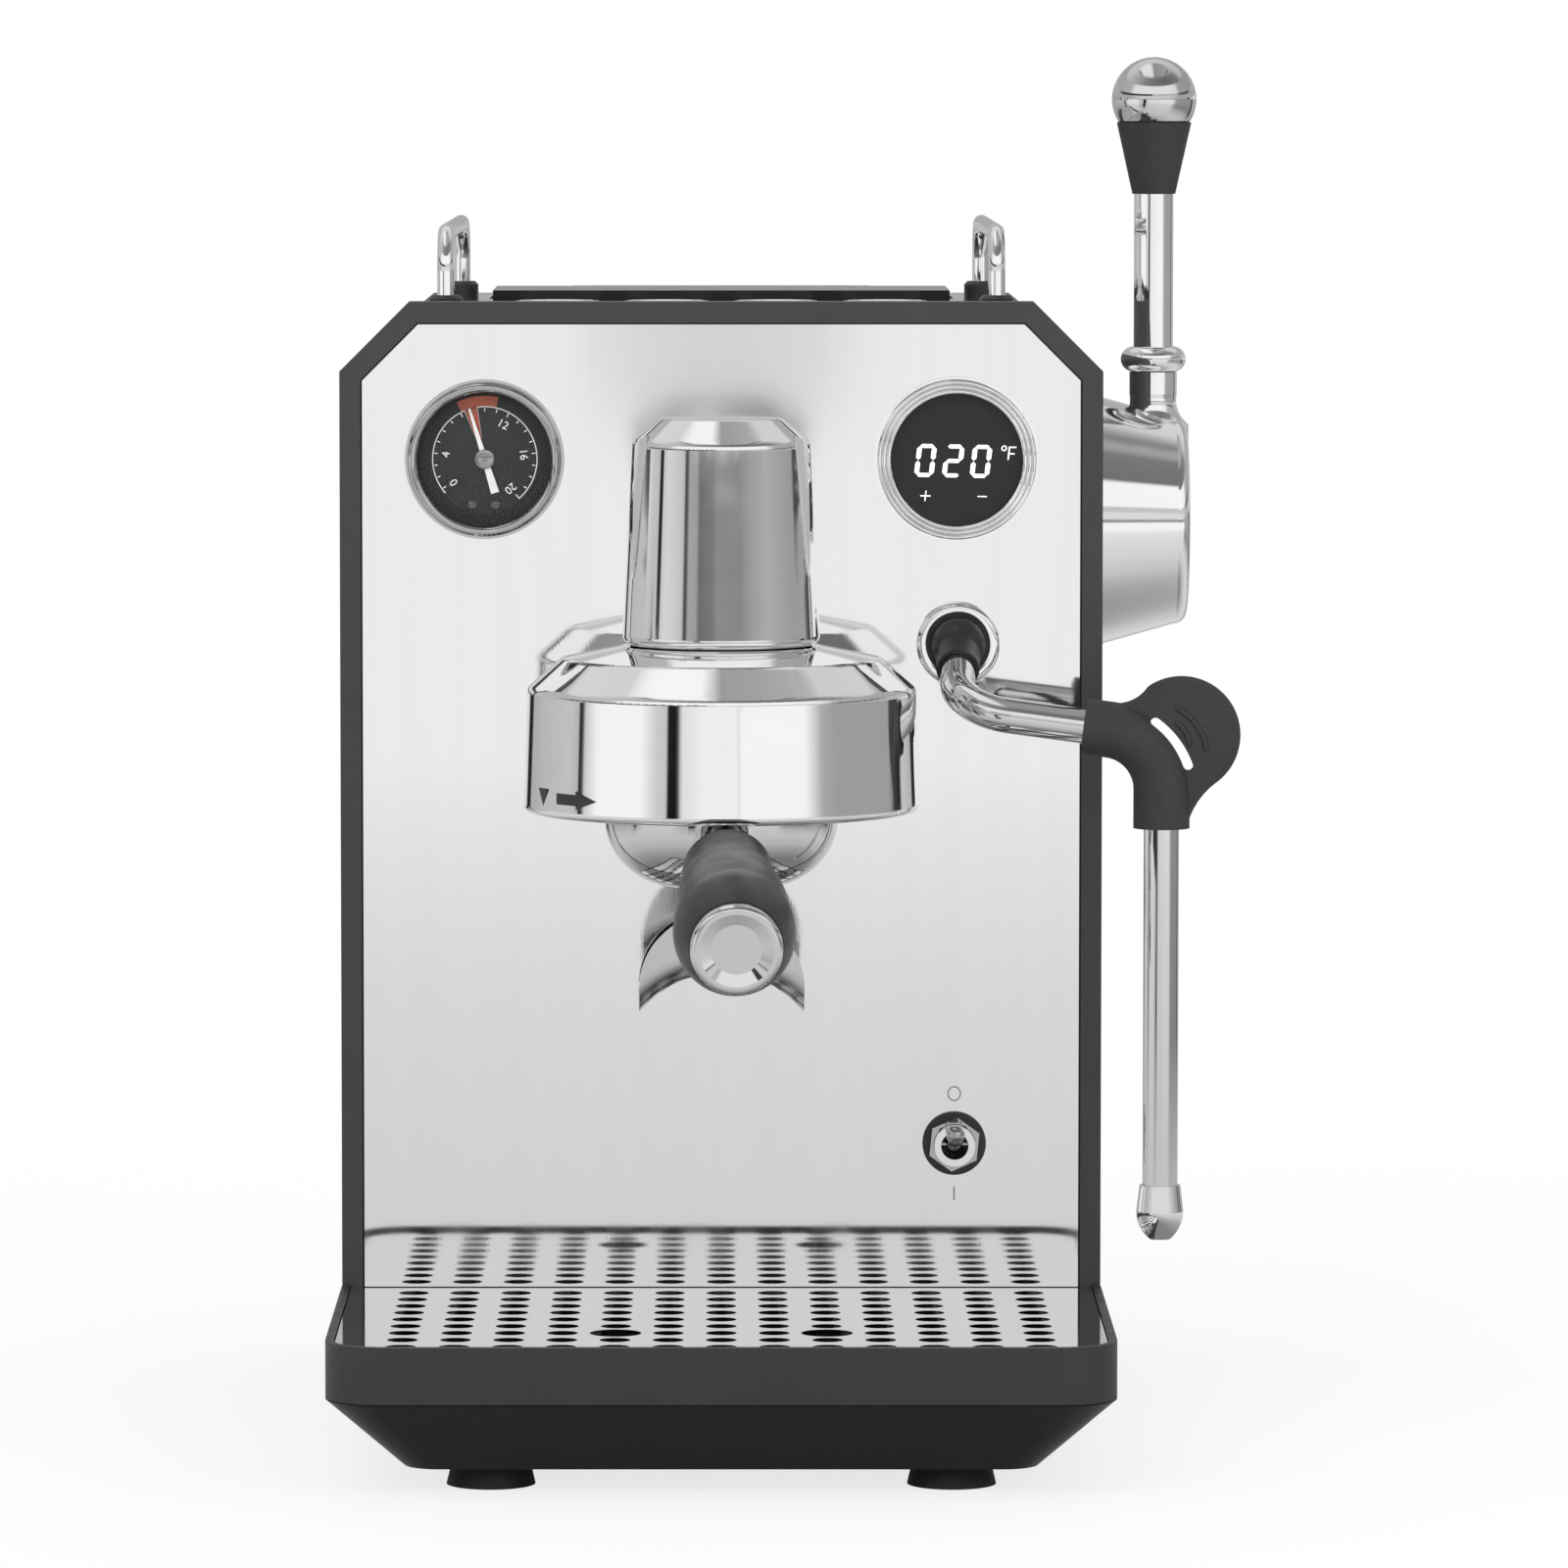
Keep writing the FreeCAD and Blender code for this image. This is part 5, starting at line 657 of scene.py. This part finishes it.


# a round floor: white where the camera looks; in reflections darker close to the feet as painted shadow, and banded far
# out
def makeFloor():
    rings = np.concatenate([[ground["hole"]], np.linspace(ground["firstRing"], ground["radius"], ground["rings"])])

    def place(u, v, out):
        return np.stack([u, v, out - ground["sink"]], axis=-1)

    grid, faces = lathe(np.stack([rings[::-1], 0 * rings], axis=1), ground["sides"], place, False)
    mesh = bpy.data.meshes.new("floor")
    mesh.from_pydata(grid.reshape(-1, 3).tolist(), [], faces)
    floor = bpy.data.objects.new("floor", mesh)
    bpy.context.scene.collection.objects.link(floor)
    material = bpy.data.materials.new("paleFloor")
    material.use_nodes = True
    mesh.materials.append(material)
    add, link = nodeGraph(material.node_tree)
    output = add("ShaderNodeOutputMaterial")
    coordinates = add("ShaderNodeTexCoord")
    reach = add("ShaderNodeVectorMath", operation="LENGTH")
    link(coordinates.outputs["Object"], reach.inputs[0])
    scaled = add("ShaderNodeMath", {1: ground["radius"]}, operation="DIVIDE")
    link(reach.outputs["Value"], scaled.inputs[0])
    share = scaled.outputs["Value"]
    around = azimuthShare(add, link, coordinates.outputs["Object"])[1]
    # painted shadow: the emission that mirrors see is dimmed close to the machine, standing in for the shade under it
    paintedShadowNear = greyRamp(add, link, ground["mirrored"], share)
    banded = greyRamp(add, link, bandStops("low"), around)
    tinted = mixColour(add, link, mapRange(add, link, share, ground["banded"]), paintedShadowNear, banded, "MULTIPLY")
    mirrored = add("ShaderNodeEmission")
    link(tinted, mirrored.inputs["Color"])
    white = add("ShaderNodeEmission", {"Color": plainWhite, "Strength": 1.0})
    matt = add("ShaderNodeBsdfDiffuse", {"Color": (*[ground["grey"]] * 3, 1)})
    kept = mapRange(add, link, share, ground["shadow"], ground["kept"])
    seen = mixShader(add, link, kept, matt.outputs["BSDF"], white.outputs["Emission"])
    surface = byRay(add, link, seen, mirrored.outputs["Emission"], matt.outputs["BSDF"])
    link(surface, output.inputs["Surface"])


lamps = {"keyLamp": {"place": (-900, 1500, 1500), "size": 1.2, "power": 16},
         "fillLamp": {"place": (1200, 1300, 900), "size": 1.4, "power": 9},
         "backLamp": {"place": (300, -1500, 1600), "size": 1.6, "power": 10}}
lampAim = (0.0, 0.0, 0.2)


# soft square lamps that all face the object's middle and stay out of its mirrors
def makeLamps():
    for name, lamp in lamps.items():
        data = bpy.data.lights.new(name, "AREA")
        data.shape = "SQUARE"
        data.size = lamp["size"]
        data.energy = lamp["power"]
        holder = bpy.data.objects.new(name, data)
        place = spot(*lamp["place"])
        holder.location = place.tolist()
        x, y, z = np.array(lampAim) - place
        tip = math.acos(-z / math.hypot(x, y, z))
        holder.rotation_euler = (tip, 0, math.atan2(y, x) - math.pi / 2)
        holder.visible_glossy = False
        bpy.context.scene.collection.objects.link(holder)


makeCamera()
makeFloor()
makeStudio()
makeLamps()
bpy.context.scene.view_settings.view_transform = "Standard"
print("stage set")
